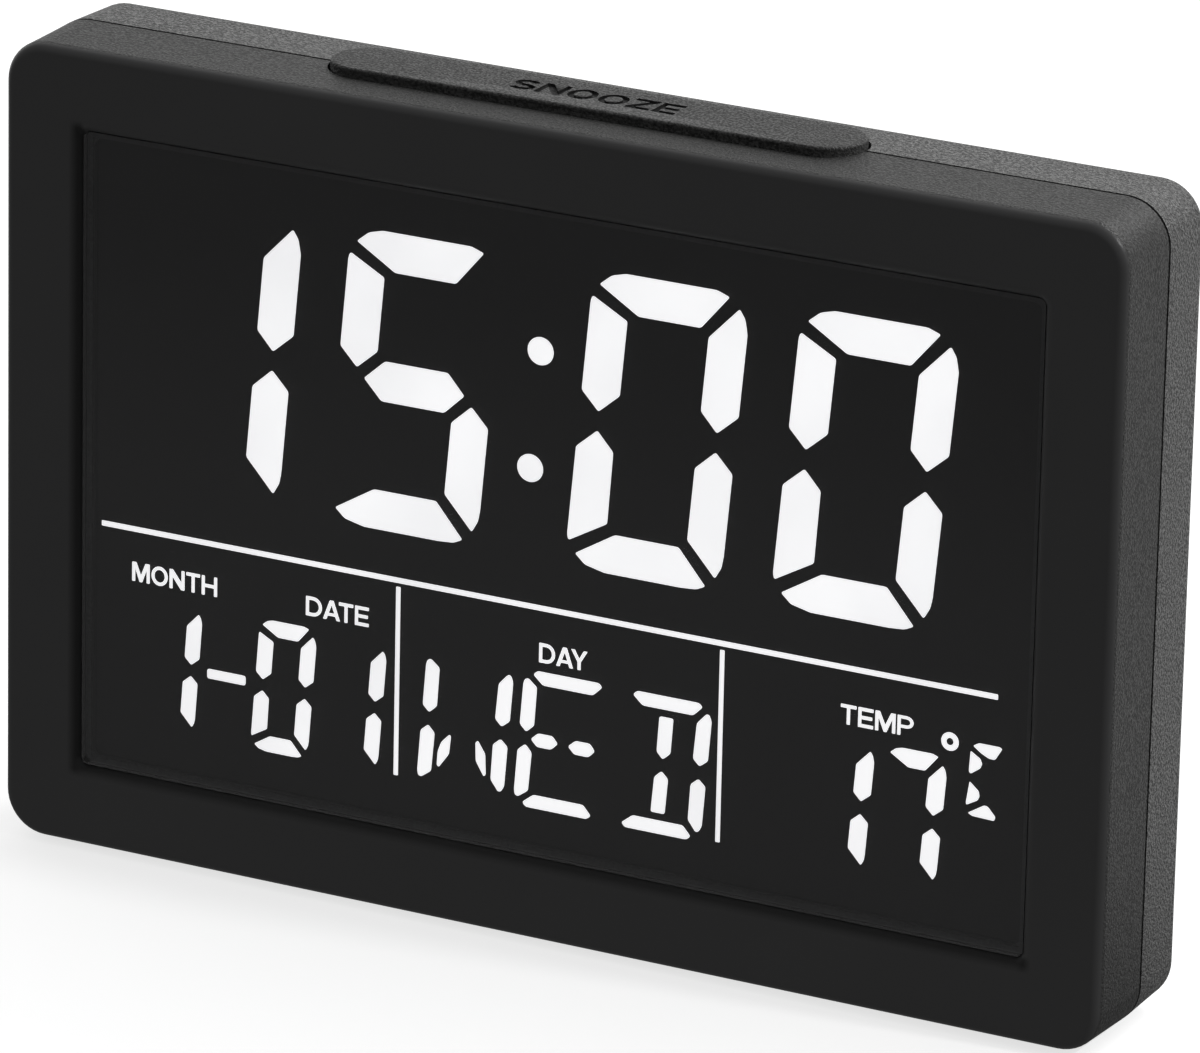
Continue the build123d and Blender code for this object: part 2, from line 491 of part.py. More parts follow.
# ---------------------------------------------------------------- rear shell
with BuildPart() as rear_shell:
    with BuildSketch(Plane(origin=(0, PARTING_Y, 0), x_dir=(-1, 0, 0), z_dir=(0, 1, 0))):
        with Locations((0, MID_Z)):
            RectangleRounded(PARTING_WIDTH, PARTING_HEIGHT, PARTING_CORNER)
    extrude(amount=REAR_DEPTH, taper=DRAFT)
    fillet(rear_shell.edges().group_by(Axis.Y)[-1], REAR_EDGE_RADIUS)
    rear_cavity = panel(CAVITY_WIDTH, CAVITY_HEIGHT, CAVITY_CORNER, REAR_WALL_DEPTH)
    extrude(rear_cavity, amount=REAR_DEPTH - WALL, mode=Mode.SUBTRACT)
    rabbet_width = TONGUE_WIDTH + 2 * TIGHT_GAP
    rabbet_height = TONGUE_BREADTH + 2 * TIGHT_GAP
    rabbet = panel(rabbet_width, rabbet_height, TONGUE_CORNER + TIGHT_GAP, TONGUE_END + TIGHT_GAP)
    extrude(rabbet, amount=TONGUE_HEIGHT + TIGHT_GAP, mode=Mode.SUBTRACT)
    # Recesses for the keys and the alarm slider, with the wall carried round behind them.
    pad_length = KEY_RECESS_LENGTH + 2 * KEY_PAD
    key_pad = slots([(0, KEY_ROW_Z)], pad_length, KEY_RECESS_WIDTH + 2 * KEY_PAD, REAR_WALL_DEPTH)
    extrude(key_pad, amount=REAR_WALL_DEPTH - KEY_WALL_DEPTH)
    slider_spot = [(SLIDER_X, KEY_ROW_Z)]
    slider_pad_length = SLIDER_PLATE + SLIDER_TRAVEL + 2 * SLIDER_PAD
    slider_pad = slots(slider_spot, slider_pad_length, KEY_RECESS_WIDTH, REAR_WALL_DEPTH)
    extrude(slider_pad, amount=REAR_WALL_DEPTH - KEY_WALL_DEPTH)
    key_recess = slots([(0, KEY_ROW_Z)], KEY_RECESS_LENGTH, KEY_RECESS_WIDTH, DEPTH)
    extrude(key_recess, amount=KEY_RECESS, mode=Mode.SUBTRACT)
    slider_recess = slots(slider_spot, SLIDER_RECESS_LENGTH, KEY_OPENING_WIDTH, DEPTH)
    extrude(slider_recess, amount=KEY_RECESS, mode=Mode.SUBTRACT)
    key_openings = slots(KEY_POINTS, KEY_OPENING_LENGTH, KEY_OPENING_WIDTH, DEPTH)
    extrude(key_openings, amount=DEPTH - KEY_WALL_DEPTH, mode=Mode.SUBTRACT)
    slider_opening = patch(SLIDER_X, KEY_ROW_Z, SLIDER_OPENING, SLIDER_SLOT, DEPTH)
    extrude(slider_opening, amount=DEPTH - KEY_WALL_DEPTH, mode=Mode.SUBTRACT)
    # Battery bay: floor, walls, ribs between the cells, and the ledge that the door lies on.
    bay_depth = REAR_WALL_DEPTH - BAY_FRONT
    bay_walls = rectangle(
        BAY_LEFT - BAY_WALL, BAY_RIGHT + BAY_WALL, BAY_BOTTOM - BAY_WALL, BAY_TOP + BAY_WALL, REAR_WALL_DEPTH
    )
    extrude(bay_walls, amount=bay_depth)
    bay_room = rectangle(BAY_LEFT, BAY_RIGHT, BAY_BOTTOM, BAY_TOP, DEPTH)
    extrude(bay_room, amount=DEPTH - BAY_FLOOR_BACK, mode=Mode.SUBTRACT)
    door_room = rectangle(
        DOOR_LEFT - SLIP_GAP, DOOR_RIGHT + SLIP_GAP, DOOR_BOTTOM - SLIP_GAP, DOOR_TOP + SLIP_GAP, DEPTH
    )
    extrude(door_room, amount=DOOR_THICKNESS, mode=Mode.SUBTRACT)
    for left, right in zip(CELL_PLACES, CELL_PLACES[1:]):
        rib_length = BAY_TOP - BAY_BOTTOM - 2 * CELL_RADIUS
        rib_middle = (BAY_TOP + BAY_BOTTOM) / 2
        rib = patch((left + right) / 2, rib_middle, BAY_RIB, rib_length, BAY_FLOOR_BACK + BAY_RIB_HEIGHT)
        extrude(rib, amount=BAY_RIB_HEIGHT)
    lip_depth = DEPTH - DOOR_TAB_SETBACK + TIGHT_GAP
    for place in DOOR_TAB_PLACES:
        tab_half = DOOR_TAB_WIDTH / 2 + OPEN_GAP
        slot_end = DOOR_BOTTOM - DOOR_TAB_REACH - OPEN_GAP
        tab_slot = rectangle(place - tab_half, place + tab_half, slot_end, DOOR_BOTTOM, lip_depth)
        extrude(tab_slot, amount=lip_depth - DOOR_DEPTH, mode=Mode.SUBTRACT)
    # Slots in the bay's end walls for the two contact tabs.
    tab_room = TAB_WIDTH / 2 + SLIP_GAP
    slot_height = PLATE + 2 * TIGHT_GAP
    upper_slot = rectangle(
        CELL_PLACES[0] - tab_room, CELL_PLACES[0] + tab_room, BAY_TOP, BAY_TOP + BAY_WALL,
        BOARD_BACK + PLATE + TIGHT_GAP,
    )
    extrude(upper_slot, amount=slot_height, mode=Mode.SUBTRACT)
    lower_slot = rectangle(
        CELL_PLACES[-1] - tab_room, CELL_PLACES[-1] + tab_room, BAY_BOTTOM - BAY_WALL, BAY_BOTTOM,
        BOARD_BACK + TIGHT_GAP,
    )
    extrude(lower_slot, amount=slot_height, mode=Mode.SUBTRACT)
    # Recess for the stand, with its wall carried round behind it and blind holes for its pins.
    stand_outside = STAND_SIDE + STAND_WALL
    walls_bottom = STAND_ROOM_BOTTOM - STAND_WALL
    walls_top = STAND_ROOM_TOP + STAND_WALL
    stand_walls = rectangle(-stand_outside, stand_outside, walls_bottom, walls_top, REAR_WALL_DEPTH)
    extrude(stand_walls, amount=REAR_WALL_DEPTH - STAND_FLOOR + STAND_WALL)
    stand_room = rectangle(-STAND_SIDE, STAND_SIDE, STAND_ROOM_BOTTOM, STAND_ROOM_TOP, DEPTH)
    extrude(stand_room, amount=STAND_RECESS, mode=Mode.SUBTRACT)
    pin_room = STAND_SIDE + STAND_PIN_LENGTH
    with BuildSketch(Plane.YZ.offset(-pin_room)):
        with Locations((FRONT_Y + STAND_AXIS_DEPTH, STAND_AXIS_Z)):
            Circle(STAND_PIN_RADIUS + PIN_GAP)
    extrude(amount=2 * pin_room, mode=Mode.SUBTRACT)
    # Screw tubes, board posts, socket hole and sounder grille.
    extrude(discs(BOSSES, TUBE_RADIUS, REAR_WALL_DEPTH), amount=REAR_DEPTH - WALL)
    extrude(discs(BOSSES, HOLE_RADIUS, DEPTH), amount=REAR_DEPTH, mode=Mode.SUBTRACT)
    extrude(discs(BOSSES, SCREW_HEAD_RADIUS + OPEN_GAP, DEPTH), amount=COUNTERBORE, mode=Mode.SUBTRACT)
    extrude(discs(POSTS, POST_RADIUS, REAR_WALL_DEPTH), amount=REAR_WALL_DEPTH - BOARD_BACK)
    post_pilot = SCREW_BITE + PILOT_SPARE
    extrude(discs(POSTS, PILOT_RADIUS, BOARD_BACK + post_pilot), amount=post_pilot, mode=Mode.SUBTRACT)
    extrude(discs([(JACK_X, JACK_Z)], JACK_BORE_RADIUS + OPEN_GAP, DEPTH), amount=WALL, mode=Mode.SUBTRACT)
    with BuildSketch(at_depth(DEPTH)):
        with Locations((SOUNDER_X, SOUNDER_Z)):
            Circle(GRILLE_HOLE_RADIUS)
            with PolarLocations(GRILLE_PITCH, GRILLE_COUNT):
                Circle(GRILLE_HOLE_RADIUS)
    extrude(amount=WALL, mode=Mode.SUBTRACT)
    extrude(bar_outline(OPENING_LENGTH, OPENING_BREADTH, ROOF_Z), amount=2 * WALL, mode=Mode.SUBTRACT)
    extrude(foot_circles(FOOT_RADIUS + TIGHT_GAP), amount=FOOT_HEIGHT, mode=Mode.SUBTRACT)
rear_shell.part.label = "rear_shell"
export_step(rear_shell.part, "parts/rear_shell.step")

# ---------------------------------------------------------------- display
with BuildPart() as display_lens:
    lens_width = POCKET_WIDTH - 2 * TIGHT_GAP
    lens_height = POCKET_HEIGHT - 2 * TIGHT_GAP
    lens_corner = POCKET_CORNER - TIGHT_GAP
    extrude(panel(lens_width, lens_height, lens_corner, LENS_BACK), amount=LENS_THICKNESS)
display_lens.part.label = "display_lens"
export_step(display_lens.part, "parts/display_lens.step")

with BuildPart() as lens_tape:
    tape_outline = band(lens_width, lens_height, lens_corner, LEDGE_WIDTH - SLIP_GAP, POCKET_DEPTH)
    extrude(tape_outline, amount=TAPE_THICKNESS)
lens_tape.part.label = "lens_tape"
export_step(lens_tape.part, "parts/lens_tape.step")

with BuildPart() as lcd_glass:
    extrude(panel(LCD_WIDTH, LCD_HEIGHT, EDGE_BREAK, LCD_DEPTH + GLASS_THICKNESS), amount=GLASS_THICKNESS)
    rear_glass = rectangle(-LCD_WIDTH / 2, LCD_WIDTH / 2, LCD_BOTTOM, LCD_TOP - TERMINAL_LEDGE, LCD_BACK)
    extrude(rear_glass, amount=GLASS_THICKNESS)
lcd_glass.part.label = "lcd_glass"
export_step(lcd_glass.part, "parts/lcd_glass.step")

with BuildPart() as diffuser_sheet:
    extrude(panel(LCD_WIDTH, LCD_HEIGHT, EDGE_BREAK, GUIDE_DEPTH), amount=DIFFUSER_THICKNESS)
diffuser_sheet.part.label = "diffuser_sheet"
export_step(diffuser_sheet.part, "parts/diffuser_sheet.step")

with BuildPart() as light_guide:
    guide = rectangle(GUIDE_LEFT, LCD_WIDTH / 2, LCD_BOTTOM, LCD_TOP, GUIDE_BACK)
    extrude(guide, amount=GUIDE_THICKNESS)
light_guide.part.label = "light_guide"
export_step(light_guide.part, "parts/light_guide.step")

with BuildPart() as reflector_sheet:
    reflector = rectangle(GUIDE_LEFT, LCD_WIDTH / 2, LCD_BOTTOM, LCD_TOP, TRAY_FLOOR_DEPTH)
    extrude(reflector, amount=REFLECTOR_THICKNESS)
reflector_sheet.part.label = "reflector_sheet"
export_step(reflector_sheet.part, "parts/reflector_sheet.step")

# A strip of light-emitting diodes on edge, with a tongue that runs back to the board.
with BuildPart() as led_strip:
    strip = rectangle(LED_STRIP_LEFT, BOARD_LEFT, LCD_BOTTOM, LCD_TOP, TRAY_FLOOR_DEPTH)
    extrude(strip, amount=GUIDE_THICKNESS)
    led_pitch = LCD_HEIGHT / LED_COUNT
    with BuildSketch(at_depth(GUIDE_BACK)):
        with Locations((BOARD_LEFT + LED_THICKNESS / 2, MID_Z)):
            with GridLocations(0, led_pitch, 1, LED_COUNT):
                Rectangle(LED_THICKNESS, LED_SIZE)
    extrude(amount=GUIDE_THICKNESS - DIFFUSER_THICKNESS)
    strip_x = (LED_STRIP_LEFT + BOARD_LEFT) / 2
    strip_tongue = patch(strip_x, KEY_ROW_Z, LED_STRIP_THICKNESS, LED_TONGUE_HEIGHT, BOARD_BACK)
    extrude(strip_tongue, amount=BOARD_BACK - GUIDE_BACK)
led_strip.part.label = "led_strip"
export_step(led_strip.part, "parts/led_strip.step")

with BuildPart() as backlight_frame:
    extrude(panel(TRAY_WIDTH, TRAY_HEIGHT, TRAY_WALL, TRAY_BACK), amount=TRAY_BACK - LCD_DEPTH)
    tray_room = panel(TRAY_INNER_WIDTH, TRAY_INNER_HEIGHT, EDGE_BREAK, TRAY_FLOOR_DEPTH)
    extrude(tray_room, amount=TRAY_FLOOR_DEPTH - LCD_DEPTH, mode=Mode.SUBTRACT)
    with BuildSketch(at_depth(TRAY_BACK)):
        for ear_x, ear_z in EARS:
            side = 1 if ear_x > 0 else -1
            with Locations((ear_x, ear_z)):
                Circle(EAR_RADIUS)
            with Locations((ear_x - side * EAR_RADIUS, ear_z)):
                Rectangle(2 * EAR_RADIUS, 2 * EAR_RADIUS)
    extrude(amount=TRAY_FLOOR)
    extrude(discs(EARS, HOLE_RADIUS, TRAY_BACK), amount=TRAY_FLOOR, mode=Mode.SUBTRACT)
    ribbon_room = RIBBON_WIDTH / 2 + WALL
    ribbon_notch = rectangle(-ribbon_room, ribbon_room, LCD_TOP, LCD_TOP + 2 * WALL, TRAY_BACK)
    extrude(ribbon_notch, amount=TRAY_BACK - LCD_DEPTH, mode=Mode.SUBTRACT)
    slot_width = LED_STRIP_THICKNESS + 2 * TIGHT_GAP
    tongue_slot = patch(strip_x, KEY_ROW_Z, slot_width, LED_TONGUE_HEIGHT + 2 * SLIP_GAP, TRAY_BACK)
    extrude(tongue_slot, amount=TRAY_FLOOR, mode=Mode.SUBTRACT)
backlight_frame.part.label = "backlight_frame"
export_step(backlight_frame.part, "parts/backlight_frame.step")

# The display's flat connector leaves the glass, climbs over the tray and lies down on the board.
with BuildPart() as display_ribbon:
    ribbon_front = FRONT_Y + LCD_DEPTH + GLASS_THICKNESS + RIBBON_THICKNESS / 2
    ribbon_back = FRONT_Y + BOARD_FRONT - RIBBON_THICKNESS / 2
    ribbon_crest = ROOF_Z - RIBBON_DROP
    with BuildSketch(Plane.YZ.offset(-RIBBON_WIDTH / 2)):
        with BuildLine():
            FilletPolyline(
                (ribbon_front, LCD_TOP - RIBBON_LAP),
                (ribbon_front, LCD_TOP + SLIP_GAP),
                (FRONT_Y + GUIDE_BACK, ribbon_crest),
                (ribbon_back, ribbon_crest),
                (ribbon_back, BOARD_TOP - POST_INSET),
                radius=RIBBON_THICKNESS * 4,
            )
        trace(line_width=RIBBON_THICKNESS)
    extrude(amount=RIBBON_WIDTH)
display_ribbon.part.label = "display_ribbon"
export_step(display_ribbon.part, "parts/display_ribbon.step")

# ---------------------------------------------------------------- circuit board
with BuildPart() as main_board:
    with BuildSketch(at_depth(BOARD_BACK)):
        with Locations(((BOARD_LEFT + BOARD_RIGHT) / 2, (BOARD_BAR_BOTTOM + BOARD_TOP) / 2)):
            Rectangle(BOARD_RIGHT - BOARD_LEFT, BOARD_TOP - BOARD_BAR_BOTTOM)
        with Locations(((BOARD_LEG_LEFT + BOARD_RIGHT) / 2, (BOARD_BOTTOM + BOARD_TOP) / 2)):
            Rectangle(BOARD_LEG_WIDTH, BOARD_TOP - BOARD_BOTTOM)
        with Locations(*POSTS):
            Circle(HOLE_RADIUS, mode=Mode.SUBTRACT)
    extrude(amount=BOARD_THICKNESS)
main_board.part.label = "main_board"
export_step(main_board.part, "parts/main_board.step")

with BuildPart() as main_chip:
    chip_spot = [(BOARD_RIGHT - CHIP_INSET, CHIP_Z)]
    extrude(discs(chip_spot, CHIP_RADIUS, BOARD_BACK + CHIP_HEIGHT), amount=CHIP_HEIGHT)
    chamfer(main_chip.edges().group_by(Axis.Y)[-1], CHIP_HEIGHT - EDGE_BREAK, CHIP_RADIUS / 2)
main_chip.part.label = "main_chip"
export_step(main_chip.part, "parts/main_chip.step")

with BuildPart() as board_parts:
    crystal_spot = [(BOARD_RIGHT - CRYSTAL_INSET, CHIP_Z)]
    crystal = slots(crystal_spot, CRYSTAL_LENGTH, CRYSTAL_WIDTH, BOARD_BACK + CRYSTAL_HEIGHT)
    extrude(crystal, amount=CRYSTAL_HEIGHT)
    with BuildSketch(at_depth(BOARD_BACK + CAPACITOR_HEIGHT)):
        with Locations((BOARD_RIGHT - CAPACITOR_INSET, POWER_Z)):
            with GridLocations(0, CAPACITOR_PITCH, 1, CAPACITOR_COUNT):
                Circle(CAPACITOR_RADIUS)
    extrude(amount=CAPACITOR_HEIGHT)
    chamfer(board_parts.edges().group_by(Axis.Y)[-1], ROUND_EDGE)
    with BuildSketch(at_depth(BOARD_BACK + REGULATOR_HEIGHT)):
        with Locations((BOARD_RIGHT - REGULATOR_INSET, POWER_Z)):
            Rectangle(REGULATOR_SIZE, REGULATOR_SIZE)
    extrude(amount=REGULATOR_HEIGHT)
    with BuildSketch(at_depth(BOARD_BACK + RESISTOR_HEIGHT)):
        with Locations((BOARD_RIGHT - RESISTOR_INSET, CHIP_Z)):
            with GridLocations(RESISTOR_PITCH_X, RESISTOR_PITCH_Z, RESISTOR_COUNT, RESISTOR_COUNT):
                Rectangle(RESISTOR_LENGTH, RESISTOR_WIDTH)
    extrude(amount=RESISTOR_HEIGHT)
board_parts.part.label = "board_parts"
export_step(board_parts.part, "parts/board_parts.step")

# A bead on two legs that measures the room's temperature.
with BuildPart() as thermistor:
    bead_back = BOARD_BACK + THERMISTOR_RISE + THERMISTOR_RADIUS
    extrude(discs([(THERMISTOR_X, THERMISTOR_Z)], THERMISTOR_RADIUS, bead_back), amount=2 * THERMISTOR_RADIUS)
    chamfer(thermistor.edges().filter_by(GeomType.CIRCLE), THERMISTOR_LEG)
    leg_spread = THERMISTOR_RADIUS / 2
    legs = [(THERMISTOR_X + side * leg_spread, THERMISTOR_Z) for side in (-1, 1)]
    extrude(discs(legs, THERMISTOR_LEG, BOARD_BACK + THERMISTOR_RISE), amount=THERMISTOR_RISE)
thermistor.part.label = "thermistor"
export_step(thermistor.part, "parts/thermistor.step")

with BuildPart() as sounder:
    sounder_back = BOARD_BACK + SOUNDER_HEIGHT
    extrude(discs([(SOUNDER_X, SOUNDER_Z)], SOUNDER_RADIUS, sounder_back), amount=SOUNDER_HEIGHT)
    chamfer(sounder.edges().group_by(Axis.Y)[-1], ROUND_EDGE)
    port = discs([(SOUNDER_X, SOUNDER_Z)], SOUNDER_PORT_RADIUS, sounder_back)
    extrude(port, amount=SOUNDER_PORT_DEPTH, mode=Mode.SUBTRACT)
sounder.part.label = "sounder"
export_step(sounder.part, "parts/sounder.step")

with BuildPart() as dc_jack:
    jack_back = REAR_WALL_DEPTH - TIGHT_GAP
    extrude(patch(JACK_X, JACK_Z, JACK_SIZE, JACK_SIZE, jack_back), amount=jack_back - BOARD_BACK)
    jack_bore = jack_back - BOARD_BACK - JACK_FLOOR
    extrude(discs([(JACK_X, JACK_Z)], JACK_BORE_RADIUS, jack_back), amount=jack_bore, mode=Mode.SUBTRACT)
    jack_pin = discs([(JACK_X, JACK_Z)], JACK_PIN_RADIUS, jack_back - JACK_PIN_SETBACK)
    extrude(jack_pin, amount=jack_bore - JACK_PIN_SETBACK)
dc_jack.part.label = "dc_jack"
export_step(dc_jack.part, "parts/dc_jack.step")

with BuildPart() as snooze_switch:
    extrude(patch(0, BOARD_TOP - SWITCH_SIZE / 2, SWITCH_SIZE, SWITCH_SIZE, SWITCH_TOP), amount=SWITCH_HEIGHT)
    with BuildSketch(Plane.XY.offset(BOARD_TOP)):
        with Locations((0, SNOOZE_ACTUATOR_Y)):
            Circle(ACTUATOR_RADIUS)
    extrude(amount=ACTUATOR_HEIGHT)
snooze_switch.part.label = "snooze_switch"
export_step(snooze_switch.part, "parts/snooze_switch.step")

with BuildPart() as key_switches:
    with BuildSketch(at_depth(SWITCH_TOP)):
        with Locations(*KEY_POINTS):
            Rectangle(SWITCH_SIZE, SWITCH_SIZE)
    extrude(amount=SWITCH_HEIGHT)
    extrude(discs(KEY_POINTS, ACTUATOR_RADIUS, ACTUATOR_TOP), amount=ACTUATOR_HEIGHT)
key_switches.part.label = "key_switches"
export_step(key_switches.part, "parts/key_switches.step")

with BuildPart() as alarm_switch:
    peg_room = SLIDER_TRAVEL + PEG_SIZE + 2 * OPEN_GAP
    alarm_body = patch(SLIDER_X, KEY_ROW_Z, peg_room + 2 * ALARM_WALL, SWITCH_SIZE, SWITCH_TOP)
    extrude(alarm_body, amount=SWITCH_HEIGHT)
    alarm_slot = patch(SLIDER_X, KEY_ROW_Z, peg_room, PEG_SIZE + 2 * OPEN_GAP, SWITCH_TOP)
    extrude(alarm_slot, amount=PEG_DEPTH + OPEN_GAP, mode=Mode.SUBTRACT)
alarm_switch.part.label = "alarm_switch"
export_step(alarm_switch.part, "parts/alarm_switch.step")

# ---------------------------------------------------------------- keys
with BuildPart() as snooze_key:
    extrude(bar_outline(SNOOZE_LENGTH, SNOOZE_WIDTH, ROOF_Z - FLANGE), amount=BAR_TOP - ROOF_Z + FLANGE)
    fillet(snooze_key.edges().group_by(Axis.Z)[-1], SNOOZE_EDGE)
    flange_length = OPENING_LENGTH + 2 * FLANGE_LIP
    flange_width = OPENING_BREADTH + 2 * FLANGE_LIP
    extrude(bar_outline(flange_length, flange_width, ROOF_Z - FLANGE), amount=FLANGE)
    hollow = bar_outline(SNOOZE_LENGTH - 2 * SNOOZE_SKIN, SNOOZE_WIDTH - 2 * SNOOZE_SKIN, ROOF_Z - FLANGE)
    extrude(hollow, amount=BAR_TOP - SNOOZE_SKIN - ROOF_Z + FLANGE, mode=Mode.SUBTRACT)
    # Cross ribs, and the stem that meets the switch.
    with BuildSketch(Plane.XY.offset(ROOF_Z)):
        with Locations((0, PARTING_Y)):
            with GridLocations(SNOOZE_LENGTH / (SNOOZE_RIBS + 1), 0, SNOOZE_RIBS, 1):
                Rectangle(SNOOZE_RIB, SNOOZE_WIDTH - SNOOZE_SKIN)
    extrude(amount=BAR_TOP - SNOOZE_SKIN - ROOF_Z)
    stem_bottom = SNOOZE_ACTUATOR_TOP + SNOOZE_TRAVEL + STOP_GAP
    with BuildSketch(Plane.XY.offset(stem_bottom)):
        with Locations((0, SNOOZE_ACTUATOR_Y)):
            Circle(ACTUATOR_RADIUS)
    extrude(amount=BAR_TOP - SNOOZE_SKIN - stem_bottom)
snooze_key.part.label = "snooze_key"
export_step(snooze_key.part, "parts/snooze_key.step")

for key_name, key_x in zip(KEY_NAMES, KEY_PLACES):
    with BuildPart() as key:
        spot = [(key_x, KEY_ROW_Z)]
        key_back = KEY_FLOOR_DEPTH + KEY_PROUD
        extrude(slots(spot, KEY_LENGTH, KEY_WIDTH, key_back), amount=key_back - KEY_WALL_DEPTH)
        chamfer(key.edges().group_by(Axis.Y)[-1], KEY_EDGE)
        lip = 2 * (KEY_GAP + FLANGE_LIP)
        extrude(slots(spot, KEY_LENGTH + lip, KEY_WIDTH + lip, KEY_WALL_DEPTH), amount=FLANGE)
        stem_end = ACTUATOR_TOP + KEY_TRAVEL + STOP_GAP
        stem_length = KEY_WALL_DEPTH - FLANGE - stem_end
        extrude(discs(spot, ACTUATOR_RADIUS, KEY_WALL_DEPTH - FLANGE), amount=stem_length)
    key.part.label = key_name
    export_step(key.part, f"parts/{key_name}.step")

with BuildPart() as alarm_slider:
    slider_back = KEY_FLOOR_DEPTH + KEY_PROUD
    slider_knob = patch(SLIDER_REST, KEY_ROW_Z, SLIDER_LENGTH, SLIDER_WIDTH, slider_back)
    extrude(slider_knob, amount=slider_back - KEY_WALL_DEPTH)
    chamfer(alarm_slider.edges().group_by(Axis.Y)[-1], KEY_EDGE)
    slider_plate = slots([(SLIDER_REST, KEY_ROW_Z)], SLIDER_PLATE, KEY_OPENING_WIDTH, KEY_WALL_DEPTH)
    extrude(slider_plate, amount=FLANGE)
    peg_end = SWITCH_TOP - PEG_DEPTH
    peg_length = KEY_WALL_DEPTH - FLANGE - peg_end
    extrude(discs([(SLIDER_REST, KEY_ROW_Z)], PEG_SIZE / 2, KEY_WALL_DEPTH - FLANGE), amount=peg_length)
alarm_slider.part.label = "alarm_slider"
export_step(alarm_slider.part, "parts/alarm_slider.step")

# ---------------------------------------------------------------- batteries
with BuildPart() as battery_cells:
    for number, place in enumerate(CELL_PLACES):
        upright = number % 2 == 0
        nub_tip = BAY_TOP - 2 * PLATE if upright else BAY_BOTTOM + 2 * PLATE
        up = 1 if upright else -1
        with BuildSketch(Plane(origin=(place, CELL_Y, nub_tip), x_dir=(1, 0, 0), z_dir=(0, 0, -up))):
            Circle(CELL_NUB_RADIUS)
        extrude(amount=CELL_NUB)
        body_end = nub_tip - up * CELL_NUB
        with BuildSketch(Plane(origin=(place, CELL_Y, body_end), x_dir=(1, 0, 0), z_dir=(0, 0, -up))):
            Circle(CELL_RADIUS)
        extrude(amount=CELL_LENGTH - CELL_NUB)
battery_cells.part.label = "battery_cells"
export_step(battery_cells.part, "parts/battery_cells.step")


def plate_outline(left, right, level):
    """Contact plate across one cell or two, on a level plane."""
    with BuildSketch(Plane.XY.offset(level)) as outline:
        with Locations(((left + right) / 2, CELL_Y)):
            Rectangle(right - left + PLATE_SIZE, PLATE_SIZE)
    return outline.sketch


# Two plates that join a pair of cells, and two single plates with a tab each.
with BuildPart() as battery_plates:
    extrude(plate_outline(CELL_PLACES[1], CELL_PLACES[2], BAY_TOP - PLATE), amount=PLATE)
    extrude(plate_outline(CELL_PLACES[0], CELL_PLACES[0], BAY_TOP - PLATE), amount=PLATE)
    extrude(plate_outline(CELL_PLACES[0], CELL_PLACES[1], BAY_BOTTOM), amount=PLATE)
    extrude(plate_outline(CELL_PLACES[2], CELL_PLACES[2], BAY_BOTTOM), amount=PLATE)
    for number, place in enumerate(CELL_PLACES):
        level = BAY_TOP - 2 * PLATE if number % 2 == 0 else BAY_BOTTOM + PLATE
        with BuildSketch(Plane.XY.offset(level)):
            with Locations((place, CELL_Y)):
                Circle(CELL_NUB_RADIUS)
        extrude(amount=PLATE)
    tab_half = TAB_WIDTH / 2
    upper_left = CELL_PLACES[0] - tab_half
    upper_end = BOARD_BAR_BOTTOM + POST_INSET
    upper_tab = rectangle(upper_left, upper_left + TAB_WIDTH, BAY_TOP - PLATE, upper_end, BOARD_BACK + PLATE)
    extrude(upper_tab, amount=PLATE)
    lower_left = CELL_PLACES[2] - tab_half
    lower_end = BAY_BOTTOM - BAY_WALL - 2 * (LEAD_RADIUS + LEAD_DROP)
    lower_tab = rectangle(lower_left, lower_left + TAB_WIDTH, lower_end, BAY_BOTTOM + PLATE, BOARD_BACK)
    extrude(lower_tab, amount=PLATE)
battery_plates.part.label = "battery_plates"
export_step(battery_plates.part, "parts/battery_plates.step")

with BuildPart() as battery_springs:
    for number, place in enumerate(CELL_PLACES):
        upright = number % 2 == 0
        seat_z = BAY_BOTTOM + PLATE if upright else BAY_TOP - PLATE
        up = 1 if upright else -1
        inset = SPRING_WIRE / 2 + STOP_GAP
        steps = SPRING_TURNS * SPRING_STEPS
        turns = []
        for step in range(steps + 1):
            angle = 2 * pi * step / SPRING_STEPS
            share = step / steps
            radius = SPRING_RADIUS + (SPRING_TIP_RADIUS - SPRING_RADIUS) * share
            level = seat_z + up * (inset + (SPRING_SPACE - 2 * inset) * share)
            turns.append((place + radius * cos(angle), CELL_Y + radius * sin(angle), level))
        with BuildLine() as coil:
            Polyline(*turns)
        with BuildSketch(Plane(origin=coil.line @ 0, z_dir=coil.line % 0)):
            RegularPolygon(SPRING_WIRE / 2, 6)
        sweep(path=coil.line, transition=Transition.RIGHT)
battery_springs.part.label = "battery_springs"
export_step(battery_springs.part, "parts/battery_springs.step")

# Insulated lead from the lower tab, up between the bay and the stand's recess, to the board.
with BuildPart() as battery_lead:
    lead_y = FRONT_Y + BOARD_BACK + LEAD_RADIUS
    lead_z = BAY_BOTTOM - BAY_WALL - LEAD_RADIUS - LEAD_DROP
    lead_x = BAY_RIGHT + BAY_WALL + LEAD_CHANNEL / 2
    with BuildLine() as lead_path:
        FilletPolyline(
            (lower_left, lead_y, lead_z),
            (lead_x, lead_y, lead_z),
            (lead_x, lead_y, BOARD_BAR_BOTTOM + POST_INSET),
            radius=4 * LEAD_RADIUS,
        )
    with BuildSketch(Plane(origin=lead_path.line @ 0, z_dir=lead_path.line % 0)):
        Circle(LEAD_RADIUS)
    sweep(path=lead_path.line)
battery_lead.part.label = "battery_lead"
export_step(battery_lead.part, "parts/battery_lead.step")

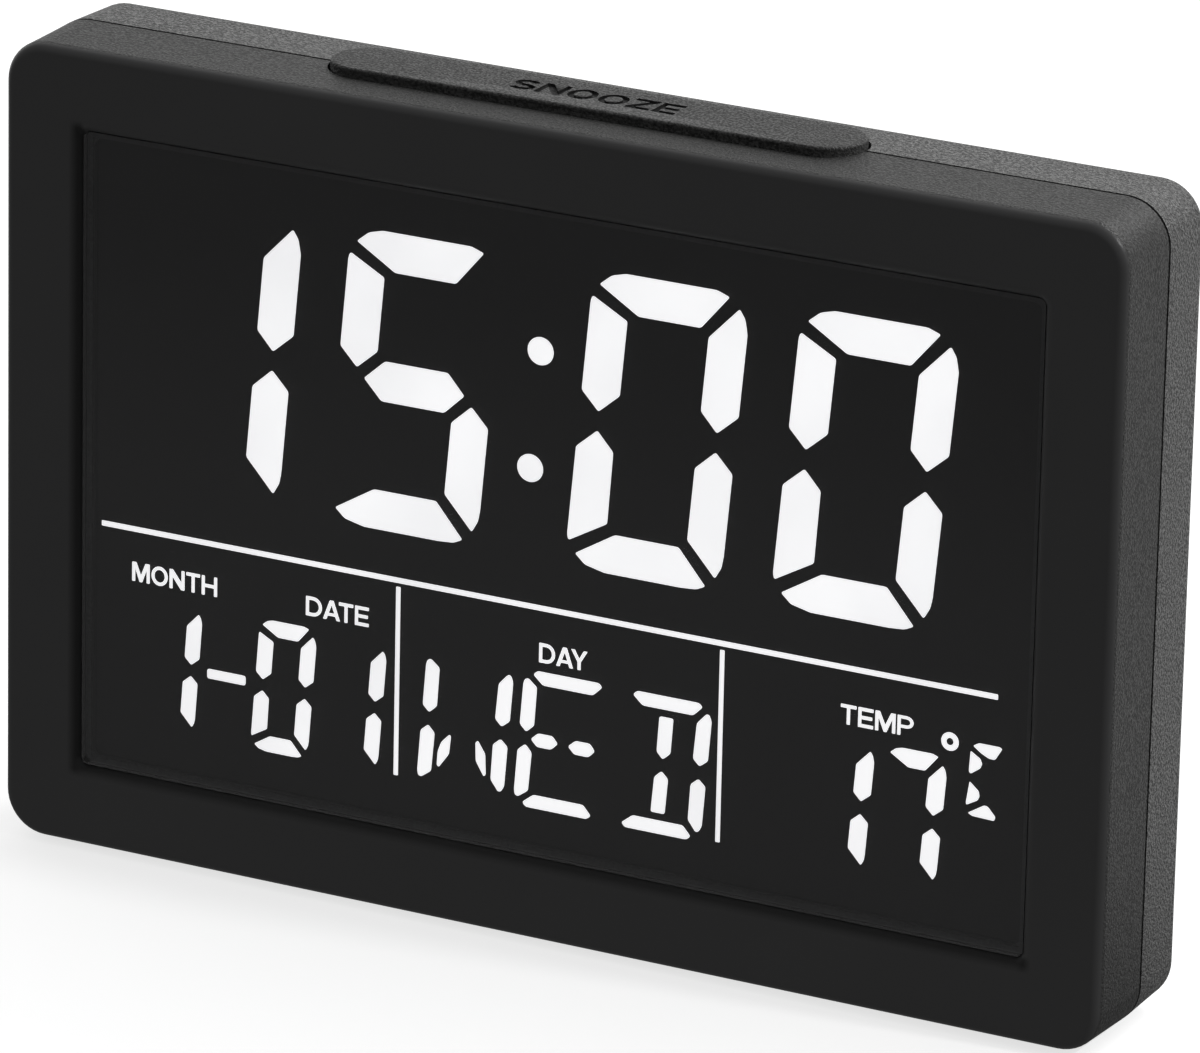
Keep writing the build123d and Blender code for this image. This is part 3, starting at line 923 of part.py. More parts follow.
with BuildPart() as battery_door:
    extrude(rectangle(DOOR_LEFT, DOOR_RIGHT, DOOR_BOTTOM, DOOR_TOP, DEPTH), amount=DOOR_THICKNESS)
    fillet(battery_door.edges().filter_by(Axis.Y).group_by(Axis.Z)[-1], DOOR_CORNER)
    door_middle = (DOOR_LEFT + DOOR_RIGHT) / 2
    for side in (-1, 1):
        slit_x = door_middle + side * (LATCH_WIDTH + LATCH_SLIT) / 2
        slit = patch(slit_x, DOOR_TOP - LATCH_LENGTH / 2, LATCH_SLIT, LATCH_LENGTH, DEPTH)
        extrude(slit, amount=DOOR_THICKNESS, mode=Mode.SUBTRACT)
    for place in DOOR_TAB_PLACES:
        tab_z = DOOR_BOTTOM - DOOR_TAB_REACH / 2
        door_tab = patch(place, tab_z, DOOR_TAB_WIDTH, DOOR_TAB_REACH, DEPTH - DOOR_TAB_SETBACK)
        extrude(door_tab, amount=DOOR_TAB_THICKNESS)
    # Finger dish over the latch tongue.
    dish = discs([(door_middle, DOOR_TOP - LATCH_LENGTH / 2)], LATCH_WIDTH / 2 - LATCH_SLIT, DEPTH)
    extrude(dish, amount=DOOR_DISH, mode=Mode.SUBTRACT)
battery_door.part.label = "battery_door"
export_step(battery_door.part, "parts/battery_door.step")

# ---------------------------------------------------------------- stand
with BuildPart() as stand:
    half = STAND_THICKNESS / 2
    # The heel's slanting face lands on the recess floor when the stand is fully open.
    reach = half + SLIP_GAP - STOP_GAP
    heel_low = (reach - half * cos(radians(STAND_OPENING))) / sin(radians(STAND_OPENING))
    heel_in = (STAND_HEEL * sin(radians(STAND_OPENING)) - reach) / cos(radians(STAND_OPENING))
    with BuildSketch(Plane.YZ.offset(-STAND_WIDTH / 2)):
        with Locations((FRONT_Y + STAND_AXIS_DEPTH, STAND_AXIS_Z)):
            Polygon(
                (-half, -STAND_LENGTH), (half, -STAND_LENGTH), (half, STAND_HEEL), (heel_in, STAND_HEEL),
                (-half, heel_low), align=None,
            )
    extrude(amount=STAND_WIDTH)
    fillet(stand.edges().filter_by(Axis.X).group_by(Axis.Z)[0], STAND_EDGE)
    fillet(stand.edges().filter_by(Axis.X).group_by(Axis.Z)[-1].sort_by(Axis.Y)[-1], STAND_EDGE)
    dish_depth = STAND_AXIS_DEPTH - half + STAND_DISH
    dish_z = (STAND_BOTTOM + STAND_AXIS_Z) / 2
    stand_dish = patch(0, dish_z, STAND_WIDTH - 2 * STAND_RIM, STAND_LENGTH - 2 * STAND_RIM, dish_depth)
    extrude(stand_dish, amount=STAND_DISH, mode=Mode.SUBTRACT)
    pin_reach = STAND_SIDE + STAND_PIN_LENGTH - 2 * PIN_GAP
    for side in (-1, 1):
        with BuildSketch(Plane.YZ.offset(side * pin_reach)):
            with Locations((FRONT_Y + STAND_AXIS_DEPTH, STAND_AXIS_Z)):
                Circle(STAND_PIN_RADIUS)
        extrude(amount=-side * (pin_reach - STAND_WIDTH / 2))
stand.part.label = "stand"
export_step(stand.part, "parts/stand.step")

# ---------------------------------------------------------------- feet and screws
with BuildPart() as rubber_feet:
    extrude(foot_circles(FOOT_RADIUS), amount=FOOT_HEIGHT)
    chamfer(rubber_feet.edges().group_by(Axis.Z)[0], EDGE_BREAK)
rubber_feet.part.label = "rubber_feet"
export_step(rubber_feet.part, "parts/rubber_feet.step")

# Each kind of screw: its places, the depth of its seat, and the way its shank runs.
with BuildPart() as housing_screws:
    extrude(discs(BOSSES, SCREW_HEAD_RADIUS, SEAT_DEPTH + SCREW_HEAD), amount=SCREW_HEAD)
    extrude(discs(BOSSES, SCREW_RADIUS, SEAT_DEPTH), amount=SEAT_DEPTH - FRONT_DEPTH + SCREW_BITE)
housing_screws.part.label = "housing_screws"
export_step(housing_screws.part, "parts/housing_screws.step")

with BuildPart() as board_screws:
    extrude(discs(POSTS, SCREW_HEAD_RADIUS, BOARD_FRONT), amount=SCREW_HEAD)
    extrude(discs(POSTS, SCREW_RADIUS, BOARD_BACK + SCREW_BITE), amount=BOARD_THICKNESS + SCREW_BITE)
board_screws.part.label = "board_screws"
export_step(board_screws.part, "parts/board_screws.step")

with BuildPart() as frame_screws:
    extrude(discs(EARS, SCREW_HEAD_RADIUS, TRAY_BACK + SCREW_HEAD), amount=SCREW_HEAD)
    frame_bite = TRAY_FLOOR_DEPTH - LCD_DEPTH - OPEN_GAP
    extrude(discs(EARS, SCREW_RADIUS, TRAY_BACK), amount=TRAY_FLOOR + frame_bite)
frame_screws.part.label = "frame_screws"
export_step(frame_screws.part, "parts/frame_screws.step")
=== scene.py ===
import json
import math

import bmesh
import bpy
from mathutils import Matrix, Vector

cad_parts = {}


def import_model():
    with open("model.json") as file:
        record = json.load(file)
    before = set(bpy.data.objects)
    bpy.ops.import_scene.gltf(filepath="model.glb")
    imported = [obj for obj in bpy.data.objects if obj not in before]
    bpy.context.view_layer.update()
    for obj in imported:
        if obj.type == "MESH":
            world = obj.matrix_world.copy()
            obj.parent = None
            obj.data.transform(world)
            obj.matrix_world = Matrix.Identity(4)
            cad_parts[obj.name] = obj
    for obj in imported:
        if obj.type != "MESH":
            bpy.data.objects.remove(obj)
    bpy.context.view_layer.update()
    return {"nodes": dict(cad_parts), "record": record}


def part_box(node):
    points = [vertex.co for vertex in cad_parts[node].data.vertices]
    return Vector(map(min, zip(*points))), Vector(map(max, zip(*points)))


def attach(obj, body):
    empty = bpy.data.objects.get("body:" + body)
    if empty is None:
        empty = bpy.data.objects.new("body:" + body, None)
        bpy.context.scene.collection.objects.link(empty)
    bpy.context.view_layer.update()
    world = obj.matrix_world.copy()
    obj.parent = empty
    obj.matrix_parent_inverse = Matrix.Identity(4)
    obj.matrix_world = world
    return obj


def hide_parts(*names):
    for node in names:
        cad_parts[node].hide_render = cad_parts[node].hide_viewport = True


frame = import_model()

# A desk day clock. Metres; X to the right seen from the front, Y from front to back, Z up.
MM = 0.001
NODES = frame["nodes"]
scene = bpy.context.scene


def low(node):
    """The lower corner of a node's box."""
    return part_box(node)[0]


def high(node):
    """The upper corner of a node's box."""
    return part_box(node)[1]


FRONT_Y = low("front_shell")[1]
GLASS_Y = low("lcd_glass")[1]
LENS_LOW = low("display_lens")
LENS_HIGH = high("display_lens")
# From the edge of the lens to the outer edge of the rounded rim about it.
RIM_REACH = 1.6 * MM
# The display's drawing is laid out from a line near the middle of the glass and from one below it.
DRAWING_MIDDLE = 0.3 * MM
DRAWING_FOOT = low("lcd_glass")[2] - 6.9 * MM


# ------------------------------------------------------------------ node helpers
def new_material(name):
    """An empty material with its output and Principled shader, returned with its node tree."""
    material = bpy.data.materials.new(name)
    material.use_nodes = True
    tree = material.node_tree
    shader = tree.nodes["Principled BSDF"]
    return material, tree, shader


def add_node(tree, kind, **settings):
    """A shader node with its sockets and properties set by name."""
    node = tree.nodes.new(kind)
    for name, value in settings.items():
        if name in node.inputs:
            node.inputs[name].default_value = value
        else:
            setattr(node, name, value)
    return node


def new_group(name, inputs, outputs):
    """A shader node group with named sockets; returns the tree and its in and out nodes."""
    tree = bpy.data.node_groups.new(name, "ShaderNodeTree")
    for label, kind, value in inputs:
        socket = tree.interface.new_socket(label, in_out="INPUT", socket_type=kind)
        socket.default_value = value
    for label, kind in outputs:
        tree.interface.new_socket(label, in_out="OUTPUT", socket_type=kind)
    return tree, tree.nodes.new("NodeGroupInput"), tree.nodes.new("NodeGroupOutput")


def place_group(tree, group, **values):
    """Puts a group into a material with its own values."""
    node = tree.nodes.new("ShaderNodeGroup")
    node.node_tree = group
    for name, value in values.items():
        node.inputs[name].default_value = value
    return node


def add_ramp(tree, value, start, end, first, last):
    """A number that runs from first to last while this one runs from start to end."""
    node = tree.nodes.new("ShaderNodeMapRange")
    for name, number in (("From Min", start), ("From Max", end), ("To Min", first), ("To Max", last)):
        node.inputs[name].default_value = number
    tree.links.new(value, node.inputs["Value"])
    return node.outputs["Result"]


def combine(tree, operation, *values):
    """Outputs joined one after another by a math operation."""
    total = values[0]
    for value in values[1:]:
        node = add_node(tree, "ShaderNodeMath", operation=operation)
        tree.links.new(total, node.inputs[0])
        tree.links.new(value, node.inputs[1])
        total = node.outputs[0]
    return total


# ------------------------------------------------------------------ shared effects
# Half the band of grain heights that flecks run over, and what full sharpness takes off it.
FLECK_BAND = 0.26
FLECK_NARROWING = 0.18
MIDDLE_HEIGHT = 0.5
# The part of the broad noise that shows as handling marks.
MARKS_START, MARKS_END = 0.45, 0.75


def build_grain():
    """Spark-eroded mould grain: uneven pits and peaks, and flecks that follow them for colour and gloss.

    Pitch is in grains to the metre. Sharpness, from 0 to 1, hardens the edges of the flecks.
    """
    group, start, end = new_group(
        "mould_grain",
        [("Pitch", "NodeSocketFloat", 2000.0), ("Sharpness", "NodeSocketFloat", 0.5)],
        [("Height", "NodeSocketFloat"), ("Fleck", "NodeSocketFloat")],
    )
    link = group.links.new
    place = add_node(group, "ShaderNodeTexCoord")
    peaks = add_node(group, "ShaderNodeTexNoise", Detail=1.5, Roughness=0.6)
    link(place.outputs["Object"], peaks.inputs["Vector"])
    link(start.outputs["Pitch"], peaks.inputs["Scale"])
    link(peaks.outputs["Fac"], end.inputs["Height"])
    band = add_node(group, "ShaderNodeMath", operation="MULTIPLY_ADD")
    link(start.outputs["Sharpness"], band.inputs[0])
    band.inputs[1].default_value = -FLECK_NARROWING
    band.inputs[2].default_value = FLECK_BAND
    fleck = add_node(group, "ShaderNodeMapRange")
    link(peaks.outputs["Fac"], fleck.inputs["Value"])
    for operation, limit in (("SUBTRACT", "From Min"), ("ADD", "From Max")):
        level = add_node(group, "ShaderNodeMath", operation=operation)
        level.inputs[0].default_value = MIDDLE_HEIGHT
        link(band.outputs[0], level.inputs[1])
        link(level.outputs[0], fleck.inputs[limit])
    link(fleck.outputs["Result"], end.inputs["Fleck"])
    return group


def build_marks():
    """Faint uneven handling marks and dust, as a broad soft mask."""
    group, start, end = new_group(
        "handling_marks",
        [("Amount", "NodeSocketFloat", 1.0)],
        [("Mask", "NodeSocketFloat")],
    )
    link = group.links.new
    place = add_node(group, "ShaderNodeTexCoord")
    broad = add_node(group, "ShaderNodeTexNoise", Scale=40.0, Detail=3.0, Roughness=0.55)
    link(place.outputs["Object"], broad.inputs["Vector"])
    marks = add_ramp(group, broad.outputs["Fac"], MARKS_START, MARKS_END, 0.0, 1.0)
    link(combine(group, "MULTIPLY", marks, start.outputs["Amount"]), end.inputs["Mask"])
    return group


# Soft edges of the front shell's masks, and how far behind the lens's face its rim ends and ledge begins.
MASK_EDGE = 1.0 * MM
RIM_EDGE = 0.5 * MM
RIM_END, RIM_GONE = 0.5 * MM, 0.8 * MM
LEDGE_START, LEDGE_FULL = 0.9 * MM, 1.2 * MM
# How much painted shade darkens the ledge behind the lens.
LEDGE_SHADE = 0.8


def build_shell_masks():
    """Masks of the front shell.

    Face: the smooth front and the start of its rounded edge. Window: all inside the rim of the window.
    Shade: painted shade on the rim's left and lower sides, ahead of the lens, and on most of the ledge
    behind it.
    """
    group, start, end = new_group(
        "front_shell_masks",
        [("Reach", "NodeSocketFloat", 0.9 * MM), ("Blend", "NodeSocketFloat", 0.35 * MM)],
        [("Face", "NodeSocketFloat"), ("Window", "NodeSocketFloat"), ("Shade", "NodeSocketFloat")],
    )
    link = group.links.new
    place = add_node(group, "ShaderNodeTexCoord")
    parts = add_node(group, "ShaderNodeSeparateXYZ")
    link(place.outputs["Object"], parts.inputs[0])
    x, y, z = parts.outputs
    ahead = add_node(group, "ShaderNodeMath", operation="ADD")
    ahead.inputs[0].default_value = FRONT_Y
    link(start.outputs["Reach"], ahead.inputs[1])
    face = add_node(group, "ShaderNodeMath", operation="DIVIDE", use_clamp=True)
    link(combine(group, "SUBTRACT", ahead.outputs[0], y), face.inputs[0])
    link(start.outputs["Blend"], face.inputs[1])
    link(face.outputs[0], end.inputs["Face"])
    left, foot = LENS_LOW[0] - RIM_REACH, LENS_LOW[2] - RIM_REACH
    right, top = LENS_HIGH[0] + RIM_REACH, LENS_HIGH[2] + RIM_REACH
    window = combine(
        group, "MULTIPLY",
        add_ramp(group, x, left, left + MASK_EDGE, 0.0, 1.0),
        add_ramp(group, x, right - MASK_EDGE, right, 1.0, 0.0),
        add_ramp(group, z, foot, foot + MASK_EDGE, 0.0, 1.0),
        add_ramp(group, z, top - MASK_EDGE, top, 1.0, 0.0),
    )
    link(window, end.inputs["Window"])
    # Painted shade: the rim's left and lower sides ahead of the lens, and the ledge behind it, are masked
    # to be darkened.
    sides = combine(
        group, "MAXIMUM",
        add_ramp(group, x, LENS_LOW[0], LENS_LOW[0] + RIM_EDGE, 1.0, 0.0),
        add_ramp(group, z, LENS_LOW[2], LENS_LOW[2] + RIM_EDGE, 1.0, 0.0),
    )
    front = add_ramp(group, y, LENS_LOW[1] + RIM_END, LENS_LOW[1] + RIM_GONE, 1.0, 0.0)
    ledge = add_ramp(group, y, LENS_LOW[1] + LEDGE_START, LENS_LOW[1] + LEDGE_FULL, 0.0, LEDGE_SHADE)
    shaded = combine(group, "MAXIMUM", combine(group, "MULTIPLY", sides, front), ledge)
    link(combine(group, "MULTIPLY", window, shaded), end.inputs["Shade"])
    return group


GRAIN = build_grain()
MARKS = build_marks()
FRONT_SHELL_MASKS = build_shell_masks()


def mix_colour(tree, factor, first, second):
    """A colour that runs from first to second with a factor output; each is a colour or an output."""
    node = tree.nodes.new("ShaderNodeMix")
    node.data_type = "RGBA"
    for socket, colour in ((node.inputs["A"], first), (node.inputs["B"], second)):
        if isinstance(colour, tuple):
            socket.default_value = (*colour, 1.0)
        else:
            tree.links.new(colour, socket)
    tree.links.new(factor, node.inputs["Factor"])
    return node.outputs["Result"]


def mix_value(tree, factor, first, second):
    """A number that runs from first to second with a factor output; each is a number or an output."""
    node = tree.nodes.new("ShaderNodeMapRange")
    for name, value in (("To Min", first), ("To Max", second)):
        if isinstance(value, float):
            node.inputs[name].default_value = value
        else:
            tree.links.new(value, node.inputs[name])
    tree.links.new(factor, node.inputs["Value"])
    return node.outputs["Result"]


def add_bump(tree, shader, height, strength, distance):
    """Relief on the shader from a height output; strength is a number or an output."""
    bump = add_node(tree, "ShaderNodeBump", Distance=distance)
    if isinstance(strength, float):
        bump.inputs["Strength"].default_value = strength
    else:
        tree.links.new(strength, bump.inputs["Strength"])
    tree.links.new(height, bump.inputs["Height"])
    tree.links.new(bump.outputs["Normal"], shader.inputs["Normal"])


# ------------------------------------------------------------------ materials
def marks_mask(tree, amount=1.0):
    """The handling marks of a material."""
    return place_group(tree, MARKS, Amount=amount).outputs["Mask"]


def front_shell_plastic():
    """Black moulding: satin front face and window rim, grained sides, and painted shade on the rim's left
    and lower sides and on the ledge behind the lens.
    """
    material, tree, shader = new_material("front_shell_plastic")
    link = tree.links.new
    masks = place_group(tree, FRONT_SHELL_MASKS)
    smooth_part = combine(tree, "MAXIMUM", masks.outputs["Face"], masks.outputs["Window"])
    shade = masks.outputs["Shade"]
    grain = place_group(tree, GRAIN, Pitch=3000.0, Sharpness=0.6)
    fleck = grain.outputs["Fleck"]
    marks = marks_mask(tree)
    flecked = mix_colour(tree, fleck, (0.008, 0.008, 0.0078), (0.028, 0.028, 0.0273))
    smooth = mix_colour(tree, marks, (0.052, 0.052, 0.0525), (0.055, 0.055, 0.0555))
    plain_colour = mix_colour(tree, smooth_part, flecked, smooth)
    # Painted shade: near black over the rim's left and lower sides and the ledge, where shade falls.
    link(mix_colour(tree, shade, plain_colour, (0.010, 0.010, 0.010)), shader.inputs["Base Color"])
    grained_gloss = mix_value(tree, fleck, 0.60, 0.42)
    smooth_gloss = mix_value(tree, marks, 0.33, 0.37)
    plain_gloss = mix_value(tree, smooth_part, grained_gloss, smooth_gloss)
    link(mix_value(tree, shade, plain_gloss, 0.5), shader.inputs["Roughness"])
    shader.inputs["Specular IOR Level"].default_value = 0.28
    add_bump(tree, shader, grain.outputs["Height"], mix_value(tree, smooth_part, 1.0, 0.02), 0.14 * MM)
    return material


# The roughness of the dark and the light flecks, as shares of the plain roughness.
DARK_FLECK_ROUGHNESS, LIGHT_FLECK_ROUGHNESS = 1.25, 0.75


def grained_plastic(
    name, colour, roughness, pitch=3000.0, strength=0.35, contrast=1.25, specular=0.5, relief=0.09
):
    """One-colour moulding with the same grain all over.

    Contrast is the light flecks over the plain colour, and the plain colour over the dark ones.
    Relief is in millimetres.
    """
    material, tree, shader = new_material(name)
    link = tree.links.new
    grain = place_group(tree, GRAIN, Pitch=pitch, Sharpness=0.8)
    fleck = grain.outputs["Fleck"]
    lighter = tuple(min(1.0, value * contrast) for value in colour)
    darker = tuple(value / contrast for value in colour)
    worn = tuple((value + other) / 2 for value, other in zip(lighter, darker))
    flecked = mix_colour(tree, fleck, darker, lighter)
    link(mix_colour(tree, marks_mask(tree), flecked, worn), shader.inputs["Base Color"])
    dark_roughness, light_roughness = roughness * DARK_FLECK_ROUGHNESS, roughness * LIGHT_FLECK_ROUGHNESS
    link(mix_value(tree, fleck, dark_roughness, light_roughness), shader.inputs["Roughness"])
    shader.inputs["Specular IOR Level"].default_value = specular
    add_bump(tree, shader, grain.outputs["Height"], strength, relief * MM)
    return material


def marked_material(name, colour, marked, roughness, marked_roughness):
    """A smooth material whose colour and roughness change a little at its handling marks."""
    material, tree, shader = new_material(name)
    marks = marks_mask(tree)
    tree.links.new(mix_colour(tree, marks, colour, marked), shader.inputs["Base Color"])
    tree.links.new(mix_value(tree, marks, roughness, marked_roughness), shader.inputs["Roughness"])
    return material, shader


def lens_material():
    """Smoke-tinted acrylic window."""
    material, shader = marked_material("lens_acrylic", (0.90, 0.90, 0.91), (0.86, 0.86, 0.87), 0.02, 0.05)
    shader.inputs["Transmission Weight"].default_value = 1.0
    shader.inputs["IOR"].default_value = 1.49
    return material


def display_material():
    """Black ground of the negative liquid crystal cell."""
    material, shader = marked_material(
        "display_glass", (0.0035, 0.0035, 0.0038), (0.005, 0.005, 0.0054), 0.30, 0.36
    )
    shader.inputs["Specular IOR Level"].default_value = 0.15
    return material


# What handling marks leave of a metal's colour, and what they add to its roughness.
MARKED_METAL = 0.88
MARKED_METAL_ROUGHER = 0.12


def metal(name, colour, roughness):
    """Plated or blackened metal with faint drawing marks."""
    darker = tuple(value * MARKED_METAL for value in colour)
    material, shader = marked_material(name, colour, darker, roughness, roughness + MARKED_METAL_ROUGHER)
    shader.inputs["Metallic"].default_value = 1.0
    return material


def lit_material():
    """Lit figures and lines of the display, a little uneven."""
    material, tree, shader = new_material("display_light")
    shader.inputs["Base Color"].default_value = (0.8, 0.8, 0.8, 1.0)
    shader.inputs["Roughness"].default_value = 0.6
    glow = mix_colour(tree, marks_mask(tree), (1.0, 1.0, 1.0), (0.93, 0.93, 0.935))
    tree.links.new(glow, shader.inputs["Emission Color"])
    shader.inputs["Emission Strength"].default_value = 1.0
    return material


BLACK = (0.017, 0.017, 0.0166)
MATERIALS = {
    "housing_plastic": grained_plastic(
        "rear_shell_plastic", BLACK, 0.50,
        pitch=2700.0, strength=1.0, contrast=4.0, specular=0.56, relief=0.36,
    ),
    "snooze_plastic": grained_plastic(
        "snooze_plastic", BLACK, 0.50, strength=1.0, contrast=2.2, specular=0.20, relief=0.16
    ),
    "key_plastic": grained_plastic("key_plastic", (0.045, 0.045, 0.047), 0.5),
    "lens_acrylic": lens_material(),
    "black_tape": grained_plastic("black_tape", (0.006, 0.006, 0.006), 0.6, strength=0.1),
    "display_glass": display_material(),
    "white_film": grained_plastic("white_film", (0.85, 0.85, 0.85), 0.5, strength=0.02, contrast=1.02),
    "clear_acrylic": grained_plastic(
        "clear_acrylic", (0.75, 0.78, 0.80), 0.1, strength=0.01, contrast=1.01
    ),
    "white_plastic": grained_plastic(
        "white_plastic", (0.72, 0.72, 0.70), 0.45, strength=0.1, contrast=1.04
    ),
    "amber_film": grained_plastic("amber_film", (0.42, 0.17, 0.03), 0.25, strength=0.05, contrast=1.08),
    "board_laminate": grained_plastic(
        "board_laminate", (0.02, 0.10, 0.045), 0.35, pitch=1800.0, strength=0.1
    ),
    "chip_resin": grained_plastic("chip_resin", (0.012, 0.012, 0.012), 0.4),
    "component_plastic": grained_plastic("component_plastic", (0.02, 0.02, 0.02), 0.5),
    "switch_steel": metal("switch_steel", (0.60, 0.60, 0.58), 0.35),
    "battery_sleeve": grained_plastic("battery_sleeve", (0.05, 0.06, 0.07), 0.3, strength=0.02),
    "plated_steel": metal("plated_steel", (0.70, 0.68, 0.64), 0.25),
    "lead_insulation": grained_plastic("lead_insulation", (0.015, 0.015, 0.015), 0.45, strength=0.1),
    "foot_rubber": grained_plastic("foot_rubber", (0.02, 0.02, 0.02), 0.75, strength=0.2),
    "screw_steel": metal("screw_steel", (0.16, 0.16, 0.17), 0.4),
    "display_light": lit_material(),
    "engraving_shade": grained_plastic("engraving_shade", (0.006, 0.006, 0.006), 0.7, specular=0.2),
}
FRONT_SHELL_PLASTIC = front_shell_plastic()
for part in frame["record"]["subparts"]:
    on_front = part["node"] == "front_shell"
    finish = FRONT_SHELL_PLASTIC if on_front else MATERIALS[part["material_slot"]]
    for slot in NODES[part["node"]].material_slots:
        slot.material = finish


# ------------------------------------------------------------------ flat figures
FILM = 0.05 * MM
LIT = MATERIALS["display_light"]
# The most of a side that a rounded corner may take.
CORNER_SHARE = 0.45


def rounded(points, radius, steps=4):
    """The outline with each corner turned by a short curve, cut back by at most this radius."""
    result = []
    count = len(points)
    for index, corner in enumerate(points):
        corner = Vector(corner)
        before = Vector(points[index - 1]) - corner
        after = Vector(points[(index + 1) % count]) - corner
        cut = min(radius, before.length * CORNER_SHARE, after.length * CORNER_SHARE)
        start = corner + before.normalized() * cut
        end = corner + after.normalized() * cut
        for step in range(steps + 1):
            t = step / steps
            result.append(start * (1 - t) ** 2 + corner * 2 * t * (1 - t) + end * t ** 2)
    return result


def lit_piece(name, mesh):
    """A lit piece of the display, which stays with the housing."""
    piece = bpy.data.objects.new(name, mesh)
    scene.collection.objects.link(piece)
    mesh.materials.clear()
    mesh.materials.append(LIT)
    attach(piece, "housing")
    return piece


def lit_films(name, outlines):
    """Thin upright films on the display glass, from outlines in millimetres across and up it."""
    mesh = bpy.data.meshes.new(name)
    shape = bmesh.new()
    for outline in outlines:
        places = [(DRAWING_MIDDLE + x * MM, DRAWING_FOOT + z * MM) for x, z in outline]
        back = [shape.verts.new((x, GLASS_Y, z)) for x, z in places]
        front = [shape.verts.new((x, GLASS_Y - FILM, z)) for x, z in places]
        shape.faces.new(front)
        shape.faces.new(list(reversed(back)))
        for index in range(len(outline)):
            after = (index + 1) % len(outline)
            shape.faces.new((front[index], back[index], back[after], front[after]))
    bmesh.ops.recalc_face_normals(shape, faces=shape.faces)
    shape.to_mesh(mesh)
    shape.free()
    return lit_piece(name, mesh)


def seven_bars(width, height, stroke, spread):
    """The seven bars of an upright figure about its middle: long mitres left, steep ones right.

    Spread widens the gaps at the ends of the upright bars, as a share of the stroke.
    """
    side, top, t = width / 2, height / 2, stroke
    tip, shoulder, end = (0.24 + 0.6 * spread) * t, (0.72 + 0.4 * spread) * t, top - spread * t
    upper_left = [
        (-side, end - 0.80 * t), (-side + 0.04 * t, end - 0.67 * t), (-side + 1.02 * t, end - 1.17 * t),
        (-side + 1.02 * t, shoulder), (-side + 0.5 * t, tip), (-side, shoulder),
    ]
    upper_right = [
        (side - 0.27 * t, end - 0.37 * t), (side - 0.10 * t, end - 0.60 * t), (side, end - 0.97 * t),
        (side, shoulder), (side - 0.52 * t, tip), (side - t, shoulder), (side - t, end - 1.20 * t),
    ]
    lower_left = [
        (-side + 0.52 * t, -tip), (-side + t, -shoulder), (-side + 1.03 * t, 1.24 * t - end),
        (-side + 0.05 * t, 0.66 * t - end), (-side, 0.80 * t - end), (-side, -shoulder),
    ]
    lower_right = [
        (side - 0.5 * t, -tip), (side, -shoulder), (side, 0.95 * t - end),
        (side - 0.03 * t, 0.68 * t - end), (side - 0.17 * t, 0.39 * t - end), (side - t, 1.22 * t - end),
        (side - t, -shoulder),
    ]
    upper = [
        (-side + 0.86 * t, top), (side - 0.91 * t, top), (side - 0.56 * t, top - 0.12 * t),
        (side - 1.23 * t, top - t), (-side + 1.30 * t, top - t), (-side + 0.19 * t, top - 0.36 * t),
        (-side + 0.49 * t, top - 0.10 * t),
    ]
    lower = [
        (-side + 1.27 * t, t - top), (side - 1.21 * t, t - top), (side - 0.40 * t, 0.14 * t - top),
        (side - 0.63 * t, 0.03 * t - top), (side - 1.04 * t, -top), (-side + 1.09 * t, -top),
        (-side + 0.55 * t, 0.12 * t - top), (-side + 0.26 * t, 0.36 * t - top),
    ]
    middle = [
        (-side + 1.25 * t, 0.51 * t), (side - 1.22 * t, 0.51 * t), (side - 0.72 * t, 0),
        (side - 1.22 * t, -0.51 * t), (-side + 1.25 * t, -0.51 * t), (-side + 0.72 * t, 0),
    ]
    return {
        "a": upper, "b": upper_right, "c": lower_right, "d": lower, "e": lower_left, "f": upper_left,
        "g": middle,
    }


# The bars that are lit for each figure.
FIGURES = {"0": "abcdef", "1": "bc", "5": "afgcd", "7": "abc"}


def upside_down(outline):
    """The outline turned over about the level line through its letter's middle."""
    return [(x, -z) for x, z in reversed(outline)]


# The bars of a fourteen-bar letter about its middle, in millimetres.
TOP_BAR = [(-4.76, 8.31), (-4.25, 8.84), (4.10, 8.84), (4.63, 8.35), (3.45, 7.13), (-3.35, 7.13)]
LEFT_BAR = [
    (-5.83, 7.54), (-5.39, 7.69), (-4.12, 6.74), (-4.06, 1.76), (-5.03, 0.80), (-6.0, 1.66), (-6.0, 6.94),
]
RIGHT_BAR = [
    (4.06, 6.25), (5.20, 7.60), (5.60, 7.55), (5.98, 6.80), (5.98, 1.66), (4.95, 0.80), (3.98, 1.66),
]
POST_BAR = [(-0.98, 6.18), (0.90, 6.18), (0.93, 1.64), (-0.03, 0.76), (-0.93, 1.64)]
LETTER_BARS = {
    "a": TOP_BAR, "d": upside_down(TOP_BAR), "f": LEFT_BAR, "e": upside_down(LEFT_BAR),
    "b": RIGHT_BAR, "c": upside_down(RIGHT_BAR), "i": POST_BAR, "l": upside_down(POST_BAR),
    "g": [(-4.34, 0), (-3.44, 0.88), (-1.45, 0.88), (-0.65, 0), (-1.5, -0.88), (-3.44, -0.88)],
    "h": [(0.73, 0), (1.67, 0.88), (3.65, 0.88), (4.40, 0), (3.6, -0.88), (1.68, -0.88)],
    "m": [
        (-2.05, -1.6), (-1.8, -1.75), (-1.87, -4.1), (-3.1, -6.0), (-3.4, -5.8), (-3.43, -4.0),
        (-3.04, -2.7),
    ],
    "k": [(1.9, -1.6), (3.05, -3.15), (3.35, -5.8), (3.1, -6.05), (1.85, -4.25), (1.6, -1.9)],
}
# The bars that are lit for each letter.
LETTERS = {"W": "febcmk", "E": "afedgh", "D": "abcdil"}


def leaning(bars, middle_x, middle_z, slant, corner):
    """Bars about their own middle, rounded, set leaning and put in place on the display."""
    return [
        [(middle_x + x + slant * z, middle_z + z) for x, z in rounded(bar, corner)]
        for bar in bars
    ]


